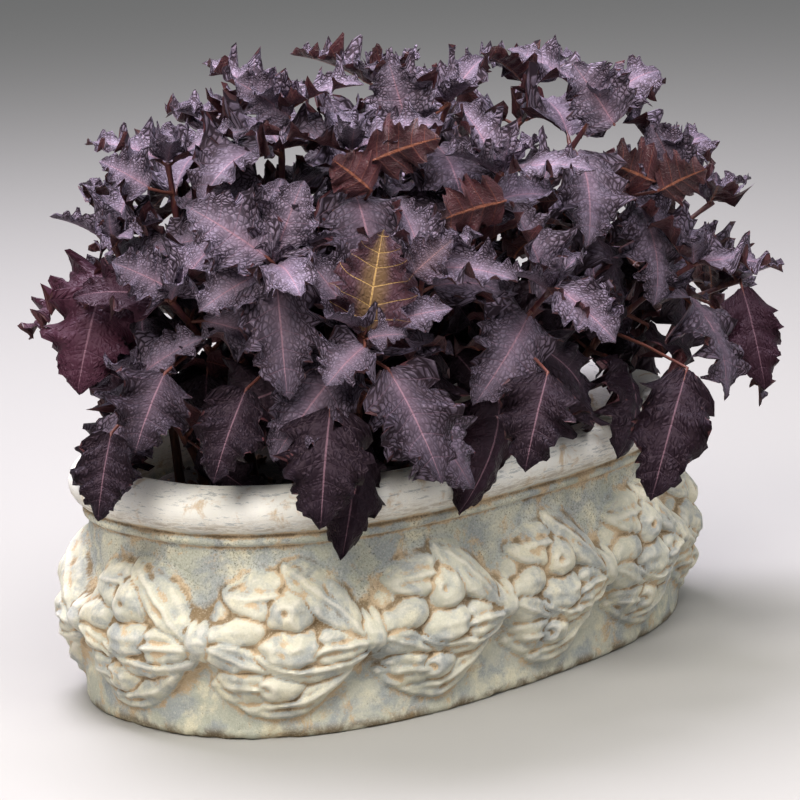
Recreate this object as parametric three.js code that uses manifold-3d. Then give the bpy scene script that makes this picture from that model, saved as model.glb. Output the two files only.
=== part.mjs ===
// Purple-leaved basil with ruffled, toothed leaves, growing in an oval cast-stone trough.
// Millimetres, +Z up. The origin is the middle of the trough's underside and +X runs along its length.
// The trough is one cast shell: an oval body with a raised garland of fruit and leaves, a small
// fillet, and a heavy rounded rim. It is filled with potting soil. Each basil stem stands in its own
// hole in the soil and is fused with its leaves, in one mesh for each leafy stem.

import * as THREE from "three";
import { mergeVertices } from "three/addons/utils/BufferGeometryUtils.js";
import Module from "manifold-3d";

const wasm = await Module();
wasm.setup();

// The trough
const OVAL = 2.5; // exponent of the oval plan: 2 is an ellipse, more is squarer
const BASE = { length: 233, width: 137 }; // half sizes of the body where it stands
const NECK = { length: 224.5, width: 128.5 }; // half sizes of the body under the fillet
const NECK_HEIGHT = 120;
const FILLET = { out: 4, height: 7, slope: 1.5 };
const RIM = { length: 222, width: 126, height: 142, radius: 15 }; // middle of the rounded rim
const FLOOR = { length: 200, width: 106, height: 24 }; // inside of the trough at its floor
const DRAFT = 3; // how much wider the hollow is at the rim than at the floor
const EDGE = 3; // chamfer round the foot
const DRAIN = { spacing: 200, radius: 7 };

// The garland: bunches that hang between rings, all alike, one after another round the body
const BUNCHES = 12;
const GARLAND_HEIGHT = 62; // its middle above the ground
const BUNCH_LENGTH = 102.2;
const GARLAND_REACH = 52; // how far it goes above and below its middle
const COLUMNS_PER_BUNCH = 8;
const COLUMNS = BUNCHES * COLUMNS_PER_BUNCH;
const RIM_COLUMNS = COLUMNS / 2;
const RELIEF_ROWS = 9;

// The soil
const SOIL_TOP = 131;
const SOIL_GAP = 0.4; // clearance to the trough and to each stem
const SOIL_COLUMNS = 32;
const STEM_DEPTH = 40; // how far a stem goes down into the soil

// The stems and leaves
const STEM_SIDES = 5;
const STEM_STEPS = 4;
const STEM_RADIUS = { foot: 3.2, tip: 1.6 };
const PETIOLE_RADIUS = 1.2;
const BLADE = 0.9; // thickness of a leaf
const GUARD = 1.4; // added thickness when a leaf is tested for room
const STALK_ROOM = 2; // half thickness of the room that a stalk needs
const DOME = { x: 275, y: 200, z: 170, height: 226 }; // the bush as an ellipsoid round the trough

// Leaf pairs from the tip of a stem downwards. share is the place along the stem, rise the mean angle
// above the horizon, swing how far light turns a leaf up on the inner side and down on the outer side,
// bend the angle through which its midrib curves down, teeth the teeth along each edge. Of the lowest
// pair only the leaf on the outer side is still there: the shaded one has dropped.
const PAIRS = [
  { share: 0.99, length: 58, width: 42, petiole: 4, rise: 36, swing: 32, bend: 40, teeth: 2 },
  { share: 0.87, length: 80, width: 56, petiole: 9, rise: 12, swing: 44, bend: 60, teeth: 3 },
  { share: 0.7, length: 92, width: 62, petiole: 15, rise: -4, swing: 42, bend: 66, teeth: 4 },
  { share: 0.48, length: 92, width: 58, petiole: 24, rise: -16, swing: 26, bend: 60, teeth: 3, outer: true },
];

// Every leafy stem: where it leaves the soil, where its tip is, the bearing of its top pair in
// degrees from +X, and its size against the mean.
const STEMS = [
  { name: "stem_front_a", root: [-108, -33], tip: [-184, -84, 291], bearing: 45, size: 1.05 },
  { name: "stem_front_b", root: [-108, -74], tip: [-159, -129, 250], bearing: 110, size: 1.0 },
  { name: "stem_front_c", root: [-134, -10], tip: [-222, -33, 271], bearing: 135, size: 1.0 },
  { name: "stem_left_a", root: [-148, 24], tip: [-178, 11, 346], bearing: 135, size: 0.95 },
  { name: "stem_left_b", root: [-162, 30], tip: [-209, 30, 298], bearing: 45, size: 0.95 },
  { name: "stem_left_c", root: [-166, 0], tip: [-234, -6, 219], bearing: 110, size: 0.95 },
  { name: "stem_top_a", root: [-54, -22], tip: [-108, -79, 351], bearing: 135, size: 1.05 },
  { name: "stem_top_b", root: [-86, 6], tip: [-126, -37, 375], bearing: 100, size: 1.0 },
  { name: "stem_top_c", root: [-18, -12], tip: [-11, -73, 370], bearing: 150, size: 1.0 },
  { name: "stem_front_d", root: [-52, -62], tip: [-113, -141, 284], bearing: 60, size: 0.95 },
  { name: "stem_front_e", root: [-10, -82], tip: [-30, -169, 261], bearing: 90, size: 1.0 },
  { name: "stem_front_f", root: [-5, -48], tip: [-34, -134, 332], bearing: 85, size: 1.0 },
  { name: "stem_right_a", root: [45, -33], tip: [63, -137, 363], bearing: 135, size: 1.1 },
  { name: "stem_right_b", root: [86, -24], tip: [123, -141, 324], bearing: 130, size: 1.0 },
  { name: "stem_right_c", root: [96, -60], tip: [130, -158, 254], bearing: 135, size: 1.05 },
  { name: "stem_right_d", root: [140, -22], tip: [251, -84, 275], bearing: 60, size: 1.0 },
  { name: "stem_right_e", root: [152, 0], tip: [255, -104, 221], bearing: 20, size: 1.0 },
  { name: "stem_back_a", root: [-108, 54], tip: [-141, 89, 311], bearing: 30, size: 1.0 },
  { name: "stem_back_b", root: [-45, 54], tip: [-67, 76, 350], bearing: 75, size: 1.0 },
  { name: "stem_back_c", root: [-18, 70], tip: [-9, 123, 277], bearing: 20, size: 1.0 },
  { name: "stem_back_d", root: [45, 44], tip: [48, 44, 371], bearing: 110, size: 1.0 },
  { name: "stem_back_e", root: [88, 60], tip: [151, 81, 295], bearing: 60, size: 1.0 },
  { name: "stem_back_f", root: [118, 22], tip: [148, -6, 363], bearing: 0, size: 1.0 },
];

const radians = THREE.MathUtils.degToRad;
const vector = (x, y, z) => new THREE.Vector3(x, y, z);

// One repeatable draw between 0 and 1 for each whole number.
function draw(seed) {
  const value = Math.sin(seed * 12.9898 + 4.1414) * 43758.5453;
  return value - Math.floor(value);
}

// A closed geometry from points and triangles.
function geometryOf(points, triangles) {
  const geometry = new THREE.BufferGeometry();
  geometry.setAttribute("position", new THREE.Float32BufferAttribute(points.flatMap((p) => p.toArray()), 3));
  geometry.setIndex(triangles.flat());
  return geometry;
}

// A manifold-3d solid from a closed geometry.
function solidOf(geometry) {
  geometry.deleteAttribute("normal");
  geometry.deleteAttribute("uv");
  const merged = mergeVertices(geometry, 1e-3);
  return new wasm.Manifold(
    new wasm.Mesh({
      numProp: 3,
      vertProperties: merged.attributes.position.array,
      triVerts: new Uint32Array(merged.index.array),
    }),
  );
}

// A named three.js mesh from a solid.
function meshOf(name, solid, material) {
  const { vertProperties, triVerts } = solid.getMesh();
  const geometry = new THREE.BufferGeometry();
  geometry.setAttribute("position", new THREE.BufferAttribute(vertProperties, 3));
  geometry.setIndex(new THREE.BufferAttribute(triVerts, 1));
  geometry.computeVertexNormals();
  const mesh = new THREE.Mesh(geometry, material);
  mesh.name = name;
  return mesh;
}

// Points of an oval at equal steps of its length, from +X round by +Y, with their outward normals.
function ovalPlan(count) {
  const fine = 4000;
  const at = (turn) => {
    const c = Math.cos(turn);
    const s = Math.sin(turn);
    return [Math.sign(c) * Math.abs(c) ** (2 / OVAL), Math.sign(s) * Math.abs(s) ** (2 / OVAL)];
  };
  const length = [0];
  for (let i = 1; i <= fine; i++) {
    const [x0, y0] = at(((i - 1) / fine) * 2 * Math.PI);
    const [x1, y1] = at((i / fine) * 2 * Math.PI);
    length.push(length[i - 1] + Math.hypot((x1 - x0) * BASE.length, (y1 - y0) * BASE.width));
  }
  const plan = [];
  let i = 0;
  for (let k = 0; k < count; k++) {
    const wanted = (k / count) * length[fine];
    while (length[i + 1] < wanted) i++;
    const part = (wanted - length[i]) / (length[i + 1] - length[i]);
    const [x, y] = at(((i + part) / fine) * 2 * Math.PI);
    const normal = new THREE.Vector2(
      (Math.sign(x) * Math.abs(x) ** (OVAL - 1)) / BASE.length,
      (Math.sign(y) * Math.abs(y) ** (OVAL - 1)) / BASE.width,
    ).normalize();
    plan.push({ x, y, normal });
  }
  return plan;
}

// One closed solid from a stack of rings, each with its own plan, half sizes, height and relief. A ring
// has as many points as the next one, or twice as many, or half.
function ringSolid(rings) {
  const points = [];
  const triangles = [];
  const starts = rings.map((ring) => {
    const start = points.length;
    ring.plan.forEach(({ x, y, normal }, k) => {
      const out = ring.relief ? ring.relief(k / ring.plan.length, ring.z) : 0;
      points.push(vector(x * ring.length + normal.x * out, y * ring.width + normal.y * out, ring.z));
    });
    return start;
  });
  for (let r = 0; r + 1 < rings.length; r++) {
    const n = rings[r].plan.length;
    const m = rings[r + 1].plan.length;
    const low = (k) => starts[r] + (k % n);
    const high = (k) => starts[r + 1] + (k % m);
    if (n === m) {
      for (let k = 0; k < n; k++) {
        triangles.push([low(k), low(k + 1), high(k + 1)], [low(k), high(k + 1), high(k)]);
      }
    } else if (n > m) {
      for (let k = 0; k < m; k++) {
        triangles.push([low(2 * k), low(2 * k + 1), high(k)]);
        triangles.push([low(2 * k + 1), high(k + 1), high(k)], [low(2 * k + 1), low(2 * k + 2), high(k + 1)]);
      }
    } else {
      for (let k = 0; k < n; k++) {
        triangles.push([low(k), high(2 * k + 1), high(2 * k)]);
        triangles.push([low(k), low(k + 1), high(2 * k + 1)], [low(k + 1), high(2 * k + 2), high(2 * k + 1)]);
      }
    }
  }
  const bottom = points.push(vector(0, 0, rings[0].z)) - 1;
  const top = points.push(vector(0, 0, rings.at(-1).z)) - 1;
  const first = rings[0].plan.length;
  const last = rings.at(-1).plan.length;
  for (let k = 0; k < first; k++) triangles.push([bottom, starts[0] + ((k + 1) % first), starts[0] + k]);
  for (let k = 0; k < last; k++) {
    triangles.push([top, starts.at(-1) + k, starts.at(-1) + ((k + 1) % last)]);
  }
  return solidOf(geometryOf(points, triangles));
}

// The pieces of one bunch of the garland, in millimetres from its left ring and from its middle line.
// A fruit is an oval boss and a leaf a pointed pad, bowed to one side or straight. All stand on a low mound.
const FRUITS = [
  { x: 54, z: 24, across: 14, up: 17, height: 14, dimple: [-3.5, -4] },
  { x: 57, z: -5, across: 21, up: 11, height: 15 },
  { x: 47, z: -30, across: 14, up: 11.5, height: 11, dimple: [-8, 1] },
  { x: 31, z: 9, across: 6.5, up: 6.5, height: 10 },
  { x: 0, z: 1, across: 8, up: 15, height: 13 },
];
const CARVED_LEAVES = [
  { from: [60, 32], to: [14, 30], width: 12.5, height: 9, bow: 0 },
  { from: [55, 45], to: [100, -4], width: 9.5, height: 11, bow: 3 },
  { from: [4, 0], to: [39, -18], width: 7, height: 8, bow: 0 },
  { from: [33, -8], to: [100, -12], width: 6.5, height: 10, bow: -8 },
  { from: [66, -10], to: [101, -7], width: 8.5, height: 12, bow: 3 },
  { from: [42, -31], to: [6, -27], width: 9.5, height: 8, bow: 0 },
  { from: [25, -40], to: [91, -25], width: 6.5, height: 8, bow: -10 },
];
const DIMPLE = { depth: 4, radius: 4 };
const MOUND = { height: 7, atRing: 12, atMiddle: 42 }; // its half height at a ring and at mid bunch

// How far a fruit stands out at a point of the bunch.
function fruitHeight({ x, z, across, up, height, dimple }, px, pz) {
  const r = Math.hypot((px - x) / across, (pz - z) / up);
  if (r >= 1) return 0;
  const full = height * Math.sqrt(1 - r * r);
  if (!dimple) return full;
  const away = Math.hypot(px - x - dimple[0], pz - z - dimple[1]);
  return full - DIMPLE.depth * Math.exp(-((away / DIMPLE.radius) ** 2));
}

// How far a carved leaf stands out at a point of the bunch.
function carvedLeafHeight({ from, to, width, height, bow }, px, pz) {
  const along = [to[0] - from[0], to[1] - from[1]];
  const length = Math.hypot(...along);
  const u = ((px - from[0]) * along[0] + (pz - from[1]) * along[1]) / length ** 2;
  if (u <= 0 || u >= 1) return 0;
  const aside = ((pz - from[1]) * along[0] - (px - from[0]) * along[1]) / length;
  const off = Math.abs(aside - 4 * bow * u * (1 - u));
  const half = width * Math.sin(Math.PI * u ** 0.8) ** 0.7;
  if (off >= half) return 0;
  return height * (1 - (off / half) ** 2) ** 0.6 * (0.55 + 0.45 * Math.sin(Math.PI * u));
}

// The garland's relief over the body, by the share of the way round and the height.
function garland(share, z) {
  const place = share * BUNCHES + 0.5; // a bunch is centred on each end of the oval
  const x = (place - Math.floor(place)) * BUNCH_LENGTH;
  const up = z - GARLAND_HEIGHT;
  const reach = MOUND.atRing + (MOUND.atMiddle - MOUND.atRing) * Math.sin((Math.PI * x) / BUNCH_LENGTH);
  const mound = MOUND.height * Math.sqrt(Math.max(0, 1 - (up / reach) ** 2));
  let out = 0;
  for (const shift of [-BUNCH_LENGTH, 0, BUNCH_LENGTH]) {
    for (const fruit of FRUITS) out = Math.max(out, fruitHeight(fruit, x + shift, up));
    for (const leaf of CARVED_LEAVES) out = Math.max(out, carvedLeafHeight(leaf, x + shift, up));
  }
  return mound + out;
}

// The mean relief round a point, so that coarse facets keep the volume of what lies between them.
function meanGarland(share, z) {
  const across = 1 / COLUMNS / 3;
  const rise = (2 * GARLAND_REACH) / RELIEF_ROWS / 3;
  let sum = 0;
  for (const i of [-1, 0, 1]) {
    for (const j of [-1, 0, 1]) sum += garland(share + i * across, z + j * rise);
  }
  return sum / 9;
}

// The cast trough: body with its garland, fillet, rounded rim, hollow inside and two drain holes.
function trough() {
  const fine = ovalPlan(COLUMNS);
  const coarse = ovalPlan(RIM_COLUMNS);
  const body = (z, extra = 0, relief = null) => {
    const t = z / NECK_HEIGHT;
    return {
      plan: fine,
      length: BASE.length + (NECK.length - BASE.length) * t + extra,
      width: BASE.width + (NECK.width - BASE.width) * t + extra,
      z,
      relief,
    };
  };
  const rings = [body(0, -EDGE), body(EDGE)];
  for (let r = 0; r <= RELIEF_ROWS; r++) {
    const z = GARLAND_HEIGHT - GARLAND_REACH + (2 * GARLAND_REACH * r) / RELIEF_ROWS;
    rings.push(body(z, 0, meanGarland));
  }
  const plain = (length, width, z) => ({ plan: coarse, length, width, z });
  rings.push(plain(NECK.length, NECK.width, NECK_HEIGHT));
  const { out: proud, height, slope } = FILLET;
  rings.push(plain(NECK.length + proud, NECK.width + proud, NECK_HEIGHT + slope));
  rings.push(plain(NECK.length + proud, NECK.width + proud, NECK_HEIGHT + height - slope));
  for (const turn of [-65, -30, 5, 45, 90, 135, 175]) {
    const out = RIM.radius * Math.cos(radians(turn));
    rings.push(plain(RIM.length + out, RIM.width + out, RIM.height + RIM.radius * Math.sin(radians(turn))));
  }
  rings.push(plain(FLOOR.length + DRAFT, FLOOR.width + DRAFT, RIM.height - RIM.radius - 6));
  rings.push(plain(FLOOR.length, FLOOR.width, FLOOR.height));
  let solid = ringSolid(rings);
  for (const side of [-1, 1]) {
    const hole = new THREE.CylinderGeometry(DRAIN.radius, DRAIN.radius, 3 * FLOOR.height, 12);
    hole.rotateX(Math.PI / 2).translate((side * DRAIN.spacing) / 2, 0, 0);
    solid = solid.subtract(solidOf(hole));
  }
  return solid;
}

// A tapered tube through points, closed at both ends.
function tube(points, radii, sides) {
  const vertices = [];
  const triangles = [];
  let side = vector(1, 0, 0);
  points.forEach((point, i) => {
    const next = points[Math.min(i + 1, points.length - 1)];
    const along = next.clone().sub(points[Math.max(i - 1, 0)]).normalize();
    side = side.addScaledVector(along, -side.dot(along)).normalize();
    const up = along.clone().cross(side);
    for (let k = 0; k < sides; k++) {
      const turn = (k / sides) * 2 * Math.PI;
      const spoke = side.clone().multiplyScalar(Math.cos(turn)).addScaledVector(up, Math.sin(turn));
      vertices.push(point.clone().addScaledVector(spoke, radii[i]));
    }
  });
  for (let i = 0; i + 1 < points.length; i++) {
    for (let k = 0; k < sides; k++) {
      const [a, b] = [i * sides + k, i * sides + ((k + 1) % sides)];
      triangles.push([a, b, b + sides], [a, b + sides, a + sides]);
    }
  }
  for (let k = 1; k + 1 < sides; k++) {
    const end = (points.length - 1) * sides;
    triangles.push([0, k + 1, k], [end, end + k, end + k + 1]);
  }
  return solidOf(geometryOf(vertices, triangles));
}

// The middle line of a stem: straight up out of the soil, then leaning out to its tip.
function stemCurve({ root, tip }) {
  const foot = vector(root[0], root[1], SOIL_TOP);
  const end = vector(...tip);
  const rise = (end.z - foot.z) * 0.55;
  const knee = vector(foot.x + (end.x - foot.x) * 0.12, foot.y + (end.y - foot.y) * 0.12, foot.z + rise);
  return new THREE.QuadraticBezierCurve3(foot, knee, end);
}

function stemSolid(stem, extra = 0) {
  const curve = stemCurve(stem);
  const foot = curve.getPoint(0);
  const low = vector(foot.x, foot.y, SOIL_TOP - STEM_DEPTH - extra);
  const points = [low, vector(foot.x, foot.y, SOIL_TOP + 2 * STEM_RADIUS.foot)];
  for (let i = 1; i <= STEM_STEPS; i++) points.push(curve.getPoint(i / STEM_STEPS));
  const { foot: thick, tip: thin } = STEM_RADIUS;
  const radii = points.map((_, i) => thick + (thin - thick) * (Math.max(0, i - 1) / STEM_STEPS) + extra);
  return tube(points, radii, STEM_SIDES);
}

// The outward direction of the bush's surface at a point.
function outward(point) {
  const above = point.z - DOME.height;
  return vector(point.x / DOME.x ** 2, point.y / DOME.y ** 2, above / DOME.z ** 2).normalize();
}

// Everything that fixes one leaf: where its blade starts, the directions of its midrib, face and side,
// and its measures. attempt picks one of the ways in which a crowded leaf turns to find room.
const TURNS = [0, 12, -12, 24, -24, 38, -38, 52];
const LIFTS = [0, 10, -12, 22, -24];
const SHRINKS = [1, 0.85, 0.7];
const ATTEMPTS = TURNS.length * LIFTS.length * SHRINKS.length;

function leafPlace(stem, stemIndex, pairIndex, side, attempt) {
  const pair = PAIRS[pairIndex];
  const seed = stemIndex * 40 + pairIndex * 6 + side * 3;
  const turn = TURNS[attempt % TURNS.length];
  const lift = LIFTS[Math.floor(attempt / TURNS.length) % LIFTS.length];
  const shrink = SHRINKS[Math.floor(attempt / (TURNS.length * LIFTS.length))];
  const node = stemCurve(stem).getPoint(pair.share);
  const out = outward(node);
  const spread = Math.hypot(out.x, out.y);
  const bearing = radians(stem.bearing + pairIndex * 90 + side * 180 + turn + 24 * (draw(seed) - 0.5));
  const facing = Math.cos(bearing - Math.atan2(out.y, out.x)) * spread;
  const rise = radians(pair.rise - pair.swing * facing + lift + 16 * (draw(seed + 1) - 0.5));
  const level = Math.cos(rise);
  const heading = vector(Math.cos(bearing) * level, Math.sin(bearing) * level, Math.sin(rise));
  const size = stem.size * shrink * (0.92 + 0.16 * draw(seed + 2));
  const upright = vector(0, 0, 1).addScaledVector(out, 1.3);
  const face = upright.addScaledVector(heading, -upright.dot(heading)).normalize();
  const petiole = heading.clone().addScaledVector(vector(0, 0, 1), 0.25).normalize();
  return {
    node,
    start: node.clone().addScaledVector(petiole, pair.petiole * size),
    heading,
    face,
    length: pair.length * size,
    width: pair.width * size,
    bend: radians(pair.bend * (0.7 + 0.3 * facing + 0.3 * draw(seed + 3))),
    cup: 0.1 - 0.35 * facing,
    twist: radians(30 * (draw(seed + 4) - 0.5)),
    phase: 2 * Math.PI * draw(seed + 5),
    teeth: pair.teeth,
    facing,
  };
}

// A leaf's outline: it widens as u ** belly, and narrows to its tip as (1 - u) ** taper.
const LEAF_SHAPE = { belly: 0.6, taper: 0.95 };
const RUFFLE = { waves: 2.5, height: 0.22 };

function halfWidth(leaf, u) {
  const { belly, taper } = LEAF_SHAPE;
  const widest = belly / (belly + taper);
  return (leaf.width / 2) * (u / widest) ** belly * ((1 - u) / (1 - widest)) ** taper;
}

// A point of a leaf: u runs from its foot to its tip, and v from edge to edge, -1 to 1.
function leafPoint(leaf, u, v) {
  const half = halfWidth(leaf, u);
  const angle = leaf.bend * u;
  const reach = (leaf.length / leaf.bend) * Math.sin(angle);
  const drop = (leaf.length / leaf.bend) * (1 - Math.cos(angle));
  const normal = leaf.face.clone().multiplyScalar(Math.cos(angle));
  normal.addScaledVector(leaf.heading, Math.sin(angle));
  const across = leaf.heading.clone().cross(leaf.face);
  const roll = leaf.twist * u;
  const side = across.clone().multiplyScalar(Math.cos(roll)).addScaledVector(normal, Math.sin(roll));
  const up = normal.clone().multiplyScalar(Math.cos(roll)).addScaledVector(across, -Math.sin(roll));
  const wave = Math.sin(2 * Math.PI * RUFFLE.waves * u + leaf.phase + (v > 0 ? 1.7 : 0));
  const height = half * (leaf.cup * v * v + RUFFLE.height * Math.abs(v) ** 1.5 * wave);
  return leaf.start
    .clone()
    .addScaledVector(leaf.heading, reach)
    .addScaledVector(leaf.face, -drop)
    .addScaledVector(side, v * half)
    .addScaledVector(up, height);
}

const TOOTH = { notch: 0.78, point: 1.06, lean: 0.62 }; // shares of the half width, and how far forward

// The middle surface of a blade: its points, its triangles seen from above, and its edge from the left
// of the foot round the tip to the right of the foot.
function bladeSheet(leaf, grown) {
  const points = [];
  const add = (u, v) => points.push(leafPoint(leaf, u, v * grown)) - 1;
  const across = leaf.heading.clone().cross(leaf.face);
  const corner = (v) => points.push(leaf.start.clone().addScaledVector(across, v * PETIOLE_RADIUS)) - 1;
  const foot = { [-1]: corner(-1), [1]: corner(1) };
  const spine = [null];
  for (let j = 1; j < leaf.teeth; j++) spine.push(add(j / leaf.teeth, 0));
  const end = add(1, 0);
  spine.push(end);
  const triangles = [[foot[-1], foot[1], spine[1]]];
  const edge = { [-1]: [], [1]: [] };
  for (const side of [-1, 1]) {
    const push = (a, b, c) => triangles.push(side > 0 ? [a, b, c] : [a, c, b]);
    let inner = foot[side];
    edge[side].push(inner);
    for (let j = 0; j < leaf.teeth; j++) {
      const next = j + 1 < leaf.teeth ? add((j + 1) / leaf.teeth, side * TOOTH.notch) : end;
      const tooth = add((j + TOOTH.lean) / leaf.teeth, side * TOOTH.point);
      if (j > 0) push(spine[j], inner, spine[j + 1]);
      if (next !== end) push(inner, next, spine[j + 1]);
      push(inner, tooth, next);
      edge[side].push(tooth, next);
      inner = next;
    }
  }
  return { points, triangles, edge: [...edge[-1], ...edge[1].slice(0, -1).reverse()] };
}

// A leaf with its stalk as one solid. Both faces of the blade are split alike, but at the foot the
// under face starts from one point, the keel of the stalk, which is a three-sided bar.
function leafSolid(leaf, { root = leaf.node, thickness = BLADE, grown = 1 } = {}) {
  const { points, triangles, edge } = bladeSheet(leaf, grown);
  const sheet = geometryOf(points, triangles);
  sheet.computeVertexNormals();
  const normals = points.map((_, i) => new THREE.Vector3().fromBufferAttribute(sheet.attributes.normal, i));
  const shifted = (by) => points.map((point, i) => point.clone().addScaledVector(normals[i], by));
  const across = leaf.heading.clone().cross(leaf.face).multiplyScalar(PETIOLE_RADIUS);
  const down = leaf.face.clone().multiplyScalar(-1.6 * PETIOLE_RADIUS);
  const rootCorners = [root.clone().sub(across), root.clone().add(across), root.clone().add(down)];
  const stalk = [leaf.start.clone().add(down), ...rootCorners];
  const n = points.length;
  const [footLeft, footRight] = [0, 1];
  const [keel, left, right, under] = stalk.map((_, i) => 2 * n + i);
  const low = (i) => (i === footLeft || i === footRight ? keel : i + n);
  const all = [...triangles];
  for (const [a, b, c] of triangles.slice(1)) all.push([low(a), low(c), low(b)]);
  for (let i = 0; i + 1 < edge.length; i++) {
    const [a, b] = [edge[i], edge[i + 1]];
    all.push([a, b, low(a)], [b, low(b), low(a)]);
  }
  all.push([left, right, footRight], [left, footRight, footLeft]);
  all.push([left, footLeft, keel], [left, keel, under]);
  all.push([footRight, right, under], [footRight, under, keel], [left, under, right]);
  return solidOf(geometryOf([...shifted(thickness / 2), ...shifted(-thickness / 2), ...stalk], all));
}

// Whether two solids share any room.
function meets(a, b) {
  const near = [0, 1, 2].every((i) => a.box.min[i] < b.box.max[i] && b.box.min[i] < a.box.max[i]);
  return near && a.solid.intersect(b.solid).volume() > 0;
}

const boxed = (solid, owner) => ({ solid, owner, box: solid.boundingBox() });

// Whether a leaf with some room round it touches anything that has its place already.
function isCrowded(leaf, owner, taken) {
  const root = leaf.start.clone().addScaledVector(leaf.heading, -1);
  const blade = boxed(leafSolid(leaf, { root, thickness: BLADE + GUARD, grown: 1.05 }), owner);
  const stalk = boxed(tube([leaf.node, leaf.start], [STALK_ROOM, STALK_ROOM], 4), owner);
  return taken.some((other) => meets(blade, other) || (other.owner !== owner && meets(stalk, other)));
}

// Places every leaf of every stem, from the tips downwards, and turns each until it has room.
function growLeaves(obstacles) {
  const taken = STEMS.map((stem, owner) => boxed(stemSolid(stem, SOIL_GAP), owner));
  for (const solid of obstacles) taken.push(boxed(solid, -1));
  const plants = STEMS.map((stem) => stemSolid(stem));
  for (let pair = 0; pair < PAIRS.length; pair++) {
    for (let owner = 0; owner < STEMS.length; owner++) {
      for (const side of [0, 1]) {
        if (PAIRS[pair].outer && leafPlace(STEMS[owner], owner, pair, side, 0).facing < 0) continue;
        for (let attempt = 0; attempt < ATTEMPTS; attempt++) {
          const leaf = leafPlace(STEMS[owner], owner, pair, side, attempt);
          if (isCrowded(leaf, owner, taken)) continue;
          const solid = leafSolid(leaf);
          taken.push(boxed(solid, owner));
          plants[owner] = plants[owner].add(solid);
          break;
        }
      }
    }
  }
  return plants;
}

// The potting soil, with a plain hole for each stem.
function soil() {
  const plan = ovalPlan(SOIL_COLUMNS);
  const ring = (inset, z) => ({ plan, length: FLOOR.length - inset, width: FLOOR.width - inset, z });
  const inset = 1.8; // clears the flats of the trough's inner wall, which leans out by DRAFT
  let solid = ringSolid([
    ring(inset, FLOOR.height + SOIL_GAP),
    ring(inset - DRAFT, SOIL_TOP - 8),
    ring(inset + 12, SOIL_TOP),
  ]);
  for (const stem of STEMS) solid = solid.subtract(stemSolid(stem, SOIL_GAP));
  return solid;
}

const castStone = new THREE.MeshStandardMaterial({ color: 0xd8cdb4, roughness: 0.85, metalness: 0 });
const pottingSoil = new THREE.MeshStandardMaterial({ color: 0x2a211c, roughness: 1, metalness: 0 });
const purpleLeaf = new THREE.MeshStandardMaterial({ color: 0x41303f, roughness: 0.5, metalness: 0 });

const group = new THREE.Group();
const pot = trough();
const filling = soil();
group.add(meshOf("trough", pot, castStone));
group.add(meshOf("soil", filling, pottingSoil));
growLeaves([pot, filling]).forEach((solid, i) => group.add(meshOf(STEMS[i].name, solid, purpleLeaf)));

export default group;
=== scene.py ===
# %% [markdown]
# # Purple ruffles basil in an oval cast-stone trough
#
# The object is a heavy garden trough with a garland of fruit and leaves in relief, filled with dark
# potting soil and planted full of a basil with nearly black, ruffled leaves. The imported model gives
# every stem, leaf and wall its place. This script keeps those places and puts finer pieces on them.

import math
from itertools import product

import bpy
import numpy as np
from mathutils import Matrix, Vector
from mathutils.geometry import tessellate_polygon


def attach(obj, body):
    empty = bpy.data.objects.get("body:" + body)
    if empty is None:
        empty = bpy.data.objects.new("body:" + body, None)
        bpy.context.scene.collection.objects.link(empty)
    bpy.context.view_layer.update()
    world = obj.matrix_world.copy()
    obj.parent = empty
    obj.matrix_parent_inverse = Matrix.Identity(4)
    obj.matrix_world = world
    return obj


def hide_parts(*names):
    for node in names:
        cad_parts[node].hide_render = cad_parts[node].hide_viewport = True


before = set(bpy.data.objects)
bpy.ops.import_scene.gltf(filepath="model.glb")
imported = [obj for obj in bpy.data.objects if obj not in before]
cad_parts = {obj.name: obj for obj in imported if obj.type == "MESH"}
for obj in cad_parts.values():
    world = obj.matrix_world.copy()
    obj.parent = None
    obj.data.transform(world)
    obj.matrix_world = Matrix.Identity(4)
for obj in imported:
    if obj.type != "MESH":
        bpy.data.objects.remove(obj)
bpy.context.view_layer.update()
MM = 0.001

# %% [markdown]
# ## The camera
#
# A camera can be aimed by hand, by a tracking constraint, or from measured angles. Here the angles
# are known: the planter is seen from its left front corner, a little from above, through a long lens
# that keeps the oval rim calm. So the place is worked out from three angles, a distance and a target.

# %% Camera
AZIMUTH, ELEVATION, ROLL = math.radians(-47.286), math.radians(11.514), math.radians(-1.914)
DISTANCE, FOCAL_LENGTH = 2.0657, 140.74  # metres; millimetres on a 36 mm sensor
TARGET = Vector((-0.00383, -0.01589, 0.17026))

turn = Matrix.Rotation(AZIMUTH, 4, "Z") @ Matrix.Rotation(math.pi / 2 - ELEVATION, 4, "X")
turn = turn @ Matrix.Rotation(ROLL, 4, "Z")
camera_data = bpy.data.cameras.new("camera")
camera_data.lens, camera_data.sensor_width, camera_data.clip_end = FOCAL_LENGTH, 36, 50
camera = bpy.data.objects.new("camera", camera_data)
camera.matrix_world = Matrix.Translation(TARGET + turn.to_3x3() @ Vector((0, 0, DISTANCE))) @ turn
bpy.context.scene.collection.objects.link(camera)
bpy.context.scene.camera = camera
bpy.context.scene.view_settings.view_transform = "Standard"
print("Camera at", tuple(round(v, 4) for v in camera.matrix_world.translation))

# %% [markdown]
# ## Meshes from arrays
#
# Leaves, relief and soil are all surfaces that a formula describes. Modelling them face by face with
# bmesh would be slow, and modifiers can't follow such formulas. So each piece is worked out as arrays
# of points and faces, collected here, and written into one mesh at the end. Two things ride along for
# the materials: a UV map that tells where on a leaf a point lies, and three numbers called marks.

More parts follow.
